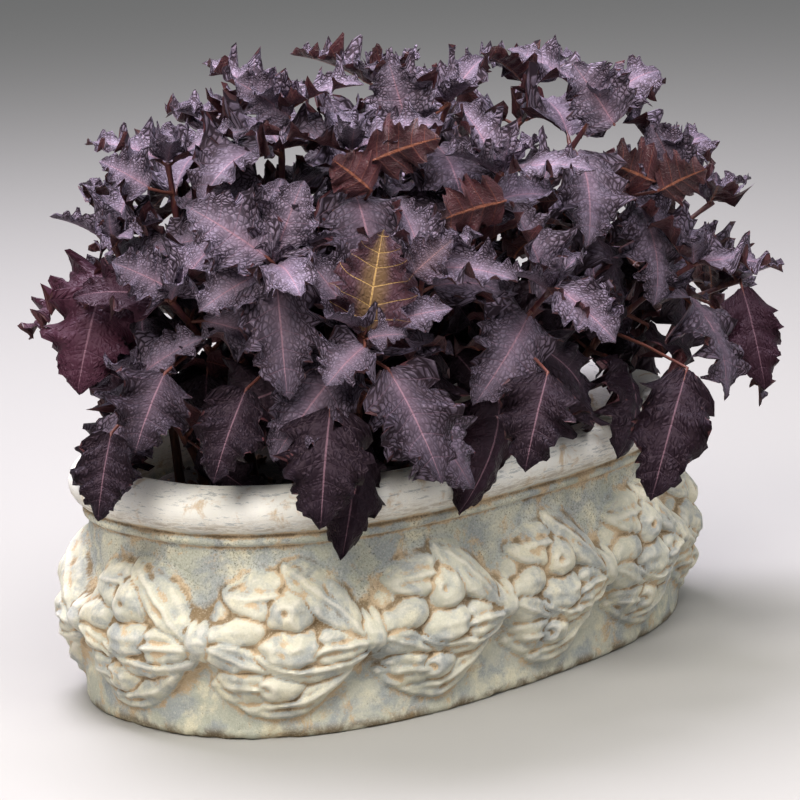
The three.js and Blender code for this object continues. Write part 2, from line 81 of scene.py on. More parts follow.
# %% Collect points and faces
class Shape:
    """Points in millimetres, faces of three or four corners, and what the materials read."""

    def __init__(self):
        self.points, self.faces, self.count = [], [], 0
        self.uv, self.marks = [], []

    def add(self, points, faces, finish=0, uv=None, marks=None):
        points = np.asarray(points, float).reshape(-1, 3)
        for group in faces:
            group = np.asarray(group, int)
            self.faces.append((group + self.count, finish))
        self.points.append(points)
        self.uv.append(np.zeros((len(points), 2)) if uv is None else uv)
        self.marks.append(np.zeros((len(points), 3)) if marks is None else marks)
        self.count += len(points)


trial = Shape()
trial.add([(0, 0, 0), (1, 0, 0), (0, 1, 0)], [[(0, 1, 2)]])
print("A trial shape has", trial.count, "points and", len(trial.faces), "group of faces")


# %% Write a piece
def make_piece(name, shape, finishes, nodes, sharp):
    """Writes a shape into a mesh object that stands for CAD nodes, and returns its count of triangles."""
    corners = np.concatenate([group.ravel() for group, _ in shape.faces])
    sizes = np.concatenate([np.full(len(group), group.shape[1]) for group, _ in shape.faces])
    finish = np.concatenate([np.full(len(group), kind) for group, kind in shape.faces])
    points = np.concatenate(shape.points) * MM
    mesh = bpy.data.meshes.new(name)
    mesh.vertices.add(len(points))
    mesh.vertices.foreach_set("co", points.astype(np.float32).ravel())
    mesh.loops.add(len(corners))
    mesh.loops.foreach_set("vertex_index", corners.astype(np.int32))
    mesh.polygons.add(len(sizes))
    mesh.polygons.foreach_set("loop_start", (np.cumsum(sizes) - sizes).astype(np.int32))
    mesh.polygons.foreach_set("material_index", finish.astype(np.int32))
    mesh.uv_layers.new(name="blade")
    uv = np.concatenate(shape.uv)[corners].astype(np.float32)
    mesh.uv_layers["blade"].data.foreach_set("uv", uv.ravel())
    marks = mesh.attributes.new("marks", "FLOAT_VECTOR", "POINT")
    marks.data.foreach_set("vector", np.concatenate(shape.marks).astype(np.float32).ravel())
    for material in finishes:
        mesh.materials.append(material)
    mesh.update(calc_edges=True)
    mesh.shade_smooth()
    mesh.set_sharp_from_angle(angle=math.radians(sharp))
    piece = bpy.data.objects.new(name, mesh)
    bpy.context.scene.collection.objects.link(piece)
    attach(piece, "root")
    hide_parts(*nodes)
    return int((sizes - 2).sum())


print("Pieces are written in metres:", MM, "of one for each millimetre")


# %% Grids and noise
def grid_faces(rows, columns, closed=False, flip=False):
    """Four-cornered faces of a grid of rows by columns of points, closed round if wanted."""
    i, j = np.meshgrid(np.arange(rows - 1), np.arange(columns if closed else columns - 1), indexing="ij")
    k = (j + 1) % columns
    faces = np.stack([i * columns + j, i * columns + k, (i + 1) * columns + k, (i + 1) * columns + j], -1)
    return faces.reshape(-1, 4)[:, ::-1] if flip else faces.reshape(-1, 4)


LATTICE = np.random.default_rng(11).random(65536) * 2 - 1


def noise(points, size, seed=0):
    """Smooth noise from -1 to 1 whose bumps are about size millimetres apart."""
    place = np.asarray(points, float) / size + seed * 17.3
    cell = np.floor(place).astype(np.int64)
    part = place - cell
    part = part * part * (3 - 2 * part)
    total = 0
    for corner in product((0, 1), repeat=3):
        x, y, z = (cell[..., axis] + corner[axis] for axis in range(3))
        weight = np.prod([part[..., a] if corner[a] else 1 - part[..., a] for a in range(3)], axis=0)
        total = total + weight * LATTICE[(x * 73856093 ^ y * 19349663 ^ z * 83492791) & 65535]
    return total


print("A grid of 3 by 4 points has", len(grid_faces(3, 4)), "faces")

# %% [markdown]
# ## Colours and nodes
#
# Colours are written as the hex values that a picture shows, and one function turns them to the
# linear values that the shader works in. One function adds a node with its settings and links, so
# that a material reads as a list of what happens to the surface.

# %% Material helpers
def colour(hex_value):
    """An sRGB hex colour as linear red, green, blue, alpha."""
    parts = [int(hex_value[i:i + 2], 16) / 255 for i in (1, 3, 5)]
    return tuple(c / 12.92 if c <= 0.04045 else ((c + 0.055) / 1.055) ** 2.4 for c in parts) + (1.0,)


SMOOTH = {"interpolation_type": "SMOOTHSTEP"}  # a range that eases in and out


def add_node(tree, kind, inputs=None, output=0, **settings):
    """Adds a shader node with its settings and links, and returns one of its outputs.

    Each input is a value, or a socket to link from. Its key is the input's name or number: in a Map
    Range 1 and 2 are the range read, 3 and 4 the range given, which are 0 and 1 where not said.
    """
    node = tree.nodes.new("ShaderNode" + kind)
    for name, value in settings.items():
        setattr(node, name, value)
    for socket, value in (inputs or {}).items():
        if isinstance(value, bpy.types.NodeSocket):
            tree.links.new(value, node.inputs[socket])
        else:
            node.inputs[socket].default_value = value
    return node.outputs[output] if node.outputs else None


def new_material(name):
    """An empty node material and its tree."""
    material = bpy.data.materials.new(name)
    material.use_nodes = True
    material.node_tree.nodes.clear()
    return material, material.node_tree


def layered_colour(tree, base, layers):
    """Lays colours one over another. Each layer follows a value from a start to its full strength."""
    for follows, start, full, strength, tint in layers:
        share = add_node(tree, "MapRange", {0: follows, 1: start, 2: full, 4: strength}, **SMOOTH)
        base = add_node(tree, "Mix", {0: share, 6: base, 7: colour(tint)}, output=2, data_type="RGBA")
    return base


print("Cream of the stone in linear light:", [round(c, 3) for c in colour("#ddd4c0")])

# %% [markdown]
# ## The trough
#
# The real trough is cast stone, a fine concrete pressed into a mould, and its plan is an oval that is
# squarer than an ellipse. A cube with a subdivision surface could give the body, but not the garland.
# Instead the wall is a grid: its columns stand at equal steps round the oval, its rows climb the wall,
# and the relief pushes each point out along the oval's normal.

# %% Oval plan
OVAL = 2.5  # exponent of the plan: 2 is an ellipse, more is squarer
BASE = (233, 137)  # half length and half width of the body where it stands
NECK = (224.5, 128.5)  # the same under the fillet
NECK_HEIGHT = 120
RIM = (222, 126)  # middle of the rounded rim
RIM_HEIGHT, RIM_RADIUS = 142, 15
FLOOR = (200, 106)  # inside of the trough at its floor
FLOOR_HEIGHT, INSIDE_TOP, DRAFT = 24, 121, 3  # the inside wall leans out by DRAFT on its way up
DRAIN_RADIUS, DRAIN_PLACES = 7, (-100, 100)


def oval_plan(count):
    """Unit points of the oval at equal steps of its length, and their outward normals."""
    angle = np.linspace(0, 2 * np.pi, 4001)

    def at(a):
        c, s = np.cos(a), np.sin(a)
        return np.sign(c) * np.abs(c) ** (2 / OVAL), np.sign(s) * np.abs(s) ** (2 / OVAL)

    x, y = at(angle)
    length = np.concatenate([[0], np.cumsum(np.hypot(np.diff(x) * BASE[0], np.diff(y) * BASE[1]))])
    x, y = at(np.interp(np.arange(count) / count * length[-1], length, angle))
    unit_points = np.stack([x, y], -1)
    normal = np.sign(unit_points) * np.abs(unit_points) ** (OVAL - 1) / BASE
    return unit_points, normal / np.linalg.norm(normal, axis=-1, keepdims=True)


COLUMNS = 880  # one column each 1.4 mm
plan, plan_normal = oval_plan(COLUMNS)
print("Oval plan of", COLUMNS, "columns")

# %% [markdown]
# ## The garland
#
# Twelve equal bunches hang round the wall, each tied to the next by a ring. Sculpting them by hand
# would be the usual way. A formula does as well for such rounded forms: a fruit is a dome over an
# oval, with a hollow where the flower was. A carved leaf is a pad with a raised edge, a hollow on each
# side and a rib along its middle. A bud is a ball on a stalk. The pieces lie on a mound, which gives
# the bunch its bulk. Where they overlap, the higher one shows, and a seam is cut along its edge.

# %% Garland pieces
BUNCHES, BUNCH_LENGTH, GARLAND_HEIGHT = 12, 102.2, 63
MOUND, SEAM = 12, 1.8  # height of the mound under a bunch, and depth of the seams
PIECE_SHARE = 0.68  # how much of each piece clears the mound
FRUITS = [  # middle, half width, half height, how far it stands out, where its hollow is, depth of its ribs
    (54, 20, 16.5, 16.5, 15, (-4, -1), 0),
    (54, -5, 22, 15, 15.5, None, 1.2),
    (46, -29.5, 16, 12.5, 12, (-7, 1), 0),
    (0, 1, 10.5, 15, 12.5, None, 0),
]
CARVED_LEAVES = [  # foot, point, half width, how far it stands out, bow to its left, lean to its left
    (56, 30, 12, 29, 15.5, 10.5, 0, 0.1),
    (50, 46, 99, -4, 14, 12, 3, -0.3),
    (2, -1, 41, -18, 11, 10, 0, 0.15),
    (31, -7, 100, -12, 9.5, 12, -8, 0.1),
    (60, -9, 101, -5, 13, 14, 3, -0.1),
    (46, -30, 3, -27, 14.5, 10, 0, 0.1),
    (20, -39, 90, -18, 10.5, 10, -11, -0.2),
]
CLUBS = [  # a stalk that ends in a round bud: its ends, both radii, how far it stands out
    (4, 3, 29, 9, 6.5, 10.5, 10.5),
]
print("A bunch has", len(FRUITS), "fruit,", len(CARVED_LEAVES), "carved leaves and", len(CLUBS), "bud")


# %% Height of each piece
def fruit_height(fruit, x, up):
    middle_x, middle_up, across, high, out, hollow, ribs = fruit
    r = np.hypot((x - middle_x) / across, (up - middle_up) / high)
    height = out * np.maximum(0, 1 - r ** 2.2) ** 0.7
    height = height - ribs * (r < 1) * np.cos(6 * (up - middle_up) / high) ** 2
    if hollow:
        away = np.hypot(x - middle_x - hollow[0], up - middle_up - hollow[1])
        lip, pit = 0.9 * np.exp(-(((away - 4.4) / 1.6) ** 2)), 4.5 * np.exp(-((away / 2.4) ** 2))
        height = height + np.where(r < 1, lip - pit, 0)
    return height


def carved_leaf_height(leaf, x, up):
    foot_x, foot_up, tip_x, tip_up, width, out, bow, lean = leaf
    run_x, run_up = tip_x - foot_x, tip_up - foot_up
    length = math.hypot(run_x, run_up)
    u = ((x - foot_x) * run_x + (up - foot_up) * run_up) / length ** 2
    inside_u = np.clip(u, 0, 1)
    half = width * np.sin(np.pi * inside_u ** 0.8) ** 0.7 + 1e-6
    off = ((up - foot_up) * run_x - (x - foot_x) * run_up) / length - 4 * bow * inside_u * (1 - inside_u)
    v = np.clip(off / half, -1, 1)
    midrib = 0.5 * np.exp(-((off / 1.9) ** 2))
    pad = (1 - v ** 4) ** 0.9 * (0.62 + 0.55 * np.abs(v) ** 1.4 + lean * v) + midrib
    height = out * pad * (0.55 + 0.45 * np.sin(np.pi * inside_u ** 0.8))
    return np.where((u > 0) & (u < 1) & (np.abs(off) < half), height, 0)


def club_height(club, x, up):
    foot_x, foot_up, tip_x, tip_up, thin, thick, out = club
    run = np.array([tip_x - foot_x, tip_up - foot_up])
    u = np.clip(((x - foot_x) * run[0] + (up - foot_up) * run[1]) / (run @ run), 0, 1)
    d = np.hypot(x - foot_x - u * run[0], up - foot_up - u * run[1])
    radius = thin + (thick - thin) * u ** 1.5
    return out * (0.8 + 0.2 * u) * np.sqrt(np.maximum(0, 1 - (d / radius) ** 2))


print("The bud stands out up to", float(club_height(CLUBS[0], 29, 9)), "mm")


# %% The bunches together
def garland(share, z):
    """How far the relief stands out, by the share of the way round and the height."""
    place = share * BUNCHES + 0.5
    x = (place - np.floor(place)) * BUNCH_LENGTH
    up = z - GARLAND_HEIGHT
    reach = 13 + 31 * np.sin(np.pi * x / BUNCH_LENGTH) ** 0.8
    mound = MOUND * np.maximum(0, 1 - (up / reach) ** 2) ** 0.7
    heights = []
    for shift in (-BUNCH_LENGTH, 0, BUNCH_LENGTH):
        heights += [fruit_height(fruit, x + shift, up) for fruit in FRUITS]
        heights += [carved_leaf_height(leaf, x + shift, up) for leaf in CARVED_LEAVES]
        heights += [club_height(club, x + shift, up) for club in CLUBS]
    second, highest = np.partition(np.array(np.broadcast_arrays(*heights)), -2, axis=0)[-2:]
    seam = SEAM * np.exp(-(((highest - second) / 1.6) ** 2)) * (second > 1)
    return mound + PIECE_SHARE * highest - seam


samples = garland(np.linspace(0, 1, 1200)[None], np.linspace(10, 116, 107)[:, None])
print("Garland of", BUNCHES, "bunches, standing out up to", round(float(samples.max()), 1), "mm")

# %% [markdown]
# ## Casting marks
#
# A cast wall is never quite flat. It swells and sinks by about a millimetre, its skin is sandy, air
# bubbles leave small pits, and the foot is chipped. The gaps between the garland's pieces are half
# filled, and the model that the mould was taken from left its chisel's creases. Such marks could be
# left to a bump map. Pushed into the grid they show in the outline too. How far a point lies under its
# neighbours is kept with the mesh, because dirt gathers in hollows and rain cleans what stands proud,
# and what stands proud also gets a painted highlight.

# %% Trough wall
def smoothed(field, rows, columns):
    """A grid's moving mean, round the oval and up the wall."""
    total = sum(np.roll(field, k, axis=1) for k in range(-columns, columns + 1)) / (2 * columns + 1)
    padded = np.pad(total, ((rows, rows), (0, 0)), mode="edge")
    return sum(padded[k:k + len(field)] for k in range(2 * rows + 1)) / (2 * rows + 1)


ROW_STEP = 1.45
WALL_ROWS = np.arange(4.5, 118.8, ROW_STEP)
wall_profile = [(0.0, -3.0), (0.8, -1.6), (2.0, -0.5)]  # height and offset of the worn foot
wall_profile += [(z, 0.0) for z in WALL_ROWS]
fillet = [
    (119.6, 0.2), (120.6, 1.6), (121.4, 3.4), (122.6, 4.5),
    (124.2, 4.6), (125.6, 4.0), (126.6, 2.6), (127.2, 2.6),
]
rim_turns = np.radians(np.linspace(-68, 172, 17))

rings = []  # half length, half width and height of each ring
for z, out in wall_profile:
    t = z / NECK_HEIGHT
    rings.append((BASE[0] + (NECK[0] - BASE[0]) * t + out, BASE[1] + (NECK[1] - BASE[1]) * t + out, z))
for z, out in fillet:
    rings.append((NECK[0] + out, NECK[1] + out, z))
for angle in rim_turns:
    out = RIM_RADIUS * math.cos(angle)
    rings.append((RIM[0] + out, RIM[1] + out, RIM_HEIGHT + RIM_RADIUS * math.sin(angle)))
for z in (134, INSIDE_TOP, 80, FLOOR_HEIGHT):
    t = (z - FLOOR_HEIGHT) / (INSIDE_TOP - FLOOR_HEIGHT)
    rings.append((FLOOR[0] + DRAFT * t, FLOOR[1] + DRAFT * t, z))
rings = np.array(rings)
print("Rings up the wall, over the rim and down inside:", len(rings))

# %% The garland on the wall
share = np.arange(COLUMNS)[None, :] / COLUMNS
height = rings[:, 2][:, None]
flat = np.empty((len(rings), COLUMNS, 3))
flat[..., :2], flat[..., 2] = plan[None] * rings[:, None, :2], height
outside = np.arange(len(rings))[:, None] < len(rings) - 4
on_wall = (height > 4) & (height < 119) & outside
drift = [1.5 * noise(flat, 15, k) + 0.7 * noise(flat, 6, k + 1) for k in (31, 33)]  # no two bunches are alike
relief = np.zeros((len(rings), COLUMNS))
for a, b in product((-0.33, 0, 0.33), repeat=2):  # the mean of nine places keeps slanted edges clean
    round_by = a / COLUMNS + drift[0] / (BUNCHES * BUNCH_LENGTH)
    relief += garland(share + round_by, height + ROW_STEP * b + drift[1]) / 9
relief = np.where(on_wall, relief, 0)
relief = relief * np.clip((height - 4) / 8, 0, 1) * np.clip((119 - height) / 6, 0, 1)
relief = 0.6 * relief + 0.4 * smoothed(relief, 1, 1)
filled = smoothed(smoothed(relief, 3, 3), 2, 2)  # half fills the gaps between the pieces
relief = np.maximum(relief, 0.85 * filled) + 0.2 * np.minimum(relief - filled, 0)
creases = 2.2 * (0.25 - np.abs(noise(flat, 12, 41))) + 1.1 * (0.25 - np.abs(noise(flat, 6, 42)))
relief = relief + creases * np.clip(relief / 9, 0, 1)
print("Relief up to", round(float(relief.max()), 1), "mm")

# %% The casting's own marks
swell = 0.8 * noise(flat, 46, 1) + 0.4 * noise(flat, 17, 2)
skin = 0.3 * noise(flat, 5.2, 3) + 0.18 * noise(flat, 2.6, 4)
chips = -3.2 * np.clip(noise(flat, 19, 5) + 0.6 * noise(flat, 5, 15) - 0.15, 0, 1)
chips = chips * np.exp(-((height / 4) ** 2))  # only along the foot
pits = -1.8 * np.clip(noise(flat, 3.4, 6) - 0.6, 0, 1) * np.clip(1 - relief / 4, 0.15, 1)
smooth_rim = np.where(height > 128, 0.45, 1.0)
out = relief + np.where(outside, swell + (skin + chips + pits) * smooth_rim, 0)
spread = np.concatenate([plan_normal, np.zeros((COLUMNS, 1))], -1)
trough_points = flat + spread[None] * out[..., None]
print("Deepest pit", round(float(pits.min()), 1), "mm, deepest chip", round(float(chips.min()), 1), "mm")

# %% Where dirt gathers
level = relief + np.where(outside, swell, 0)
recess = 0.4 * (smoothed(level, 3, 3) - level) / 1.8 + 0.6 * (smoothed(level, 1, 1) - level) / 0.35
groove = np.exp(-(((height - 127.0) / 1.4) ** 2)) + 0.8 * np.exp(-(((height - 119.4) / 1.5) ** 2))
recess = np.clip(0.5 * recess + 0.5 * smoothed(recess, 1, 1) + np.where(outside, groove, 0), -1, 1)
ledge = np.zeros_like(relief)
ledge[1:-1] = np.clip((relief[:-2] - relief[2:]) / np.maximum(height[2:] - height[:-2], 1) / 1.5, -1, 1)
ledge = smoothed(ledge, 1, 2)
print("Share of the wall that lies in hollows:", round(float((recess > 0.3).mean()), 2))


# %% Close the trough with its floor and drain holes
def drain_ring(x, z, count=24):
    angle = np.arange(count) / count * 2 * np.pi
    return np.stack([x + DRAIN_RADIUS * np.cos(angle), DRAIN_RADIUS * np.sin(angle), np.full(count, z)], -1)


def plate_with_holes(outer, holes, up):
    """Triangles of a flat plate with holes, numbered through the rings one after another."""
    rings_in = [outer] + holes
    triangles = np.array(tessellate_polygon([[Vector(p) for p in ring] for ring in rings_in]))
    every = np.concatenate(rings_in)
    a, b, c = (every[triangles[:, k]] for k in range(3))
    wrong = (np.cross(b - a, c - a)[:, 2] > 0) != up
    triangles[wrong] = triangles[wrong][:, ::-1]
    return triangles


trough = Shape()
trough_marks = np.stack([recess, relief / 20, ledge], -1).reshape(-1, 3)
rows = len(rings)
trough.add(trough_points, [grid_faces(rows, COLUMNS, closed=True)], marks=trough_marks)
last_ring = (rows - 1) * COLUMNS + np.arange(COLUMNS)
first_ring = np.arange(COLUMNS)
drain_start = trough.count
drains = [drain_ring(x, z) for z in (0.0, FLOOR_HEIGHT) for x in DRAIN_PLACES]
trough.add(np.concatenate(drains), [])
for level_index, (ring_numbers, z_up) in enumerate(((first_ring, False), (last_ring, True))):
    outer = trough_points.reshape(-1, 3)[ring_numbers]
    numbers = np.concatenate([ring_numbers, drain_start + level_index * 48 + np.arange(48)])
    triangles = plate_with_holes(outer, drains[2 * level_index:2 * level_index + 2], z_up)
    trough.faces.append((numbers[triangles], 0))
for hole in (0, 1):
    low, high = drain_start + hole * 24 + np.arange(24), drain_start + 48 + hole * 24 + np.arange(24)
    trough.faces.append((np.stack([low, high, np.roll(high, -1), np.roll(low, -1)], -1), 0))
print("Trough closed, with", trough.count, "points")

# %% [markdown]
# ## Aged cast stone
#
# Cast stone is cement and pale crushed stone: matt, cream to ivory, with a sandy grain. Years outdoors
# stain it. Ochre dirt stays in hollows and grooves, grey-blue weathering lies on some cushions of the
# relief, dark lichen specks dot the flat wall, and the foot is darker with splashed soil. One painted
# texture could hold it all. Here each kind is one noise at its real size, laid over the last, and the
# marks of the mesh say where it may lie.

# %% Noises of the stone
STONE_NOISES = (  # size in mm, detail, roughness, how far it is moved, so that no two line up
    (90, 4, 0.6, 0),  # large blotches
    (30, 5, 0.65, 3),  # patches of whole skin, which also gather the lichen
    (22, 4, 0.62, 7),  # marbling
    (17, 5, 0.7, 11),  # rusty dirt
    (1.3, 3, 0.8, 0),  # sand grains
)


def stone_noises(tree, place):
    """A cloudy noise for each kind of stain at its real size, and one drawn out along the rim."""
    found = []
    for size_mm, detail, rough, shift in STONE_NOISES:
        moved = add_node(tree, "VectorMath", {0: place, 1: (shift, 0.0, 0.0)})
        found.append(add_node(tree, "TexNoise", {
            "Vector": moved, "Scale": 1 / (size_mm * MM), "Detail": detail, "Roughness": rough,
            "Distortion": 0.4,
        }))
    long = add_node(tree, "VectorMath", {0: place, 1: (60.0, 60.0, 420.0)}, operation="MULTIPLY")
    scratches = {"Vector": long, "Scale": 1.0, "Detail": 6.0, "Roughness": 0.8}
    return found + [add_node(tree, "TexNoise", scratches)]


print("Sizes of the stone's noises in mm:", [row[0] for row in STONE_NOISES])


# %% Zones of the wall
RIM_ZONE = (126, 134)  # heights in mm between which the rim's smooth finish starts


def stone_zones(tree, place, proud):
    """Shares from 0 to 1: on the relief, on the rim, under its edge, near the foot, on the bare wall."""
    height_of = add_node(tree, "SeparateXYZ", {0: place}, output=2)
    on_relief = add_node(tree, "MapRange", {0: proud, 1: 0.04, 2: 0.4}, **SMOOTH)
    rim_start, rim_full = (height * MM for height in RIM_ZONE)
    on_rim = add_node(tree, "MapRange", {0: height_of, 1: rim_start, 2: rim_full}, **SMOOTH)
    under_rim = add_node(tree, "MapRange", {0: height_of, 1: 145 * MM, 2: 128 * MM, 4: on_rim})
    off_rim = add_node(tree, "MapRange", {0: on_rim, 1: 0.5, 2: 0.0})
    near_foot = add_node(tree, "MapRange", {0: height_of, 1: 11 * MM, 2: 0.5 * MM}, **SMOOTH)
    upper = add_node(tree, "MapRange", {0: height_of, 1: 40 * MM, 2: 90 * MM, 3: 0.45, 4: off_rim})
    on_wall = add_node(tree, "MapRange", {0: proud, 1: 0.3, 2: 0.03, 3: 0.35, 4: upper})
    return on_relief, on_rim, under_rim, near_foot, on_wall


print("The rim's finish starts at", RIM_ZONE[0], "mm and is full at", RIM_ZONE[1], "mm")


# %% Cast stone material
def stone_material():
    """Cement and crushed stone, stained by years outdoors: each layer is one kind of weathering, and the
    paler relief and edges also carry painted highlight.
    """
    material, tree = new_material("cast_stone_aged")
    place = add_node(tree, "TexCoord", output="Object")
    marks = add_node(tree, "Attribute", output="Vector", attribute_name="marks")
    hollow, proud, ledge = add_node(tree, "SeparateXYZ", {0: marks}).node.outputs
    blotch, patch, marble, rust, grain, scratches = stone_noises(tree, place)
    on_relief, on_rim, under_rim, near_foot, on_wall = stone_zones(tree, place, proud)
    stain = add_node(tree, "Math", {0: rust, 1: 4.0, 2: -2.1}, operation="MULTIPLY_ADD")
    stain = add_node(tree, "Math", {0: hollow, 1: stain}, operation="ADD")
    uneven = add_node(tree, "Math", {0: marble, 1: 2.6, 2: -1.3}, operation="MULTIPLY_ADD")
    soot = add_node(tree, "Math", {0: ledge, 1: 0.4, 2: hollow}, operation="MULTIPLY_ADD")
    soot = add_node(tree, "Math", {0: soot, 1: uneven}, operation="ADD")
    dots = add_node(tree, "MapRange", {0: patch, 1: 0.36, 2: 0.6, 3: 0.45, 4: 1.0}, **SMOOTH)
    dots = add_node(tree, "Math", {0: dots, 1: on_wall}, operation="MULTIPLY")
    specks = add_node(tree, "MapRange", {0: grain, 1: 0.5, 2: 0.64, 4: dots}, **SMOOTH)
    seeds = add_node(tree, "TexVoronoi", {"Vector": place, "Scale": 1 / (4 * MM)}, output="Distance")
    holes = add_node(tree, "MapRange", {0: seeds, 1: 0.16, 2: 0.06, 4: dots}, **SMOOTH)
    base = layered_colour(tree, colour("#bebca9"), [
        (blotch, 0.42, 0.6, 0.7, "#a0a393"),  # grey-green weathering in large blotches
        (patch, 0.46, 0.62, 0.75, "#dad2b4"),  # yellow cream where the cement skin is whole
        (on_relief, 0.0, 1.0, 0.35, "#d9d2bb"),  # the relief is paler: rubbed a little, and painted highlight on the forms that stand out
        (marble, 0.44, 0.64, 0.8, "#8f9596"),  # blue-grey marbled through the skin
        (on_rim, 0.0, 1.0, 0.85, "#eeebe3"),  # the rim is rubbed smooth
        (hollow, 0.04, 0.35, 0.5, "#a3a9a8"),  # grey-blue in the hollows of the carved leaves
        (stain, 0.06, 0.6, 0.75, "#c1a277"),  # ochre dirt in patches round the pieces
        (soot, 0.48, 1.15, 0.8, "#6b5636"),  # brown in seams, in grooves and on ledges
        (hollow, -0.25, -0.9, 0.4, "#e6dfcf"),  # pale edges: worn, and painted highlight on the convex edges
    ])
    streaks = add_node(tree, "MapRange", {0: scratches, 1: 0.52, 2: 0.64, 4: on_rim}, **SMOOTH)
    grime = add_node(tree, "MapRange", {0: scratches, 1: 0.64, 2: 0.4, 4: under_rim}, **SMOOTH)
    splash = add_node(tree, "MapRange", {0: marble, 1: 0.38, 2: 0.6, 4: near_foot}, **SMOOTH)
    base = layered_colour(tree, base, [
        (streaks, 0.0, 1.0, 0.7, "#8c9192"),  # scratches along the rim
        (grime, 0.0, 1.0, 0.8, "#7a6442"),  # grime that runs off under the rim
        (splash, 0.0, 1.0, 0.85, "#6f5a35"),  # soil splashed on the foot
        (specks, 0.0, 1.0, 0.65, "#5c594d"),  # a dense pepper of lichen on the flat wall
        (holes, 0.0, 1.0, 0.7, "#3d3a32"),  # and in the open pores
        (grain, 0.5, 0.3, 0.3, "#e6dfcd"),  # pale sand grains
    ])
    smooth = add_node(tree, "MapRange", {0: on_rim, 3: 0.72, 4: 0.5})
    rough = add_node(tree, "MapRange", {0: marble, 3: smooth, 4: 0.92})
    bump = add_node(tree, "Bump", {"Height": grain, "Strength": 0.7, "Distance": 0.6 * MM})
    bump = add_node(
        tree, "Bump", {"Height": holes, "Strength": 0.8, "Distance": 0.8 * MM, "Normal": bump}, invert=True
    )
    surface = {"Base Color": base, "Roughness": rough, "IOR": 1.5, "Normal": bump}
    add_node(tree, "OutputMaterial", {0: add_node(tree, "BsdfPrincipled", surface)})
    return material


triangles = make_piece("trough_cast", trough, [stone_material()], ["trough"], sharp=70)
print("Trough:", triangles, "triangles")

# %% [markdown]
# ## Potting soil
#
# Potting soil is a dark, loose mix of peat and bark. The CAD solid is smooth, so this piece keeps its
# outline and adds a bumpy skin, with crumbs and bark bits strewn over it. A particle system could
# strew them. Plain copies at drawn places do the same and export as they are.

# %% Soil body
SOIL_TOP = 131
SOIL_COLUMNS = 176
soil_plan, _ = oval_plan(SOIL_COLUMNS)
soil_rings = [(-1.8, 24.4, 0.0), (1.2, 123.0, 0.0)]  # how far in or out of the floor oval, height, bumps
soil_rings += [(-2.0 - 94.0 * k / 22, SOIL_TOP - 7 * (1 - min(1, k / 3)) ** 2, 1.0) for k in range(23)]
soil_points = []
for offset, z, bumps in soil_rings:
    ring = np.full((SOIL_COLUMNS, 3), float(z))
    ring[:, :2] = soil_plan * [FLOOR[0] + offset, FLOOR[1] + offset]
    ring[:, 2] += bumps * (2.2 * noise(ring, 24, 7) + 1.5 * noise(ring, 9, 8) + 0.8 * noise(ring, 4.5, 9))
    soil_points.append(ring)
soil = Shape()
soil_rows = len(soil_rings)
soil.add(np.array(soil_points), [grid_faces(soil_rows, SOIL_COLUMNS, closed=True)])
top_middle = np.mean(soil_points[-1], axis=0)
soil.add([[0, 0, 24.4], top_middle], [])
ring = np.arange(SOIL_COLUMNS)
soil.faces.append((np.stack([np.full(SOIL_COLUMNS, soil.count - 2), np.roll(ring, -1), ring], -1), 0))
last = (soil_rows - 1) * SOIL_COLUMNS + ring
soil.faces.append((np.stack([np.full(SOIL_COLUMNS, soil.count - 1), last, np.roll(last, -1)], -1), 0))
print("Soil body of", soil.count, "points")


# %% Crumbs and bark
def lump(rng, centre, size):
    """A small faceted lump: a cube's corners and face middles pushed to a rough ball, then stretched."""
    corners = np.array(list(product((-1, 1), repeat=3)), float) / math.sqrt(3)
    middles = np.array([v for axis in range(3) for v in (np.eye(3)[axis], -np.eye(3)[axis])])
    points = np.concatenate([corners, middles]) * (1 + 0.28 * (rng.random((14, 1)) - 0.5))
    turn, _ = np.linalg.qr(rng.normal(size=(3, 3)))
    turn = turn * np.sign(np.linalg.det(turn))
    flatten = np.array([1.0, 0.55 + 0.4 * rng.random(), 0.3 + 0.5 * rng.random()])
    triangles = []
    for m, middle in enumerate(middles):
        axis, sign = m // 2, 1 - 2 * (m % 2)
        loop = [k for k in range(8) if corners[k][axis] * sign > 0]
        spin = {0: (1, 2), 1: (2, 0), 2: (0, 1)}[axis]
        loop.sort(key=lambda k: sign * math.atan2(corners[k][spin[1]], corners[k][spin[0]]))
        triangles += [(8 + m, loop[q], loop[(q + 1) % 4]) for q in range(4)]
    return (points * flatten * size) @ turn.T + centre, [np.array(triangles)]


CRUMBS = 520
rng = np.random.default_rng(5)
for _ in range(CRUMBS):
    angle, reach = rng.random() * 2 * math.pi, math.sqrt(rng.random()) * 0.96
    x, y = (math.copysign(abs(f(angle)) ** (2 / OVAL), f(angle)) for f in (math.cos, math.sin))
    size = 1.2 + 3.6 * rng.random() ** 3
    ground = SOIL_TOP - 6 * max(0, reach - 0.93) / 0.07  # the soil drops a little at the wall
    points, faces = lump(rng, (x * reach * 196, y * reach * 101, ground + 0.8), size)
    bark = rng.random()
    soil.add(points, faces, marks=np.tile([bark, size / 5, 1.0], (len(points), 1)))
print("Soil with its crumbs:", soil.count, "points")


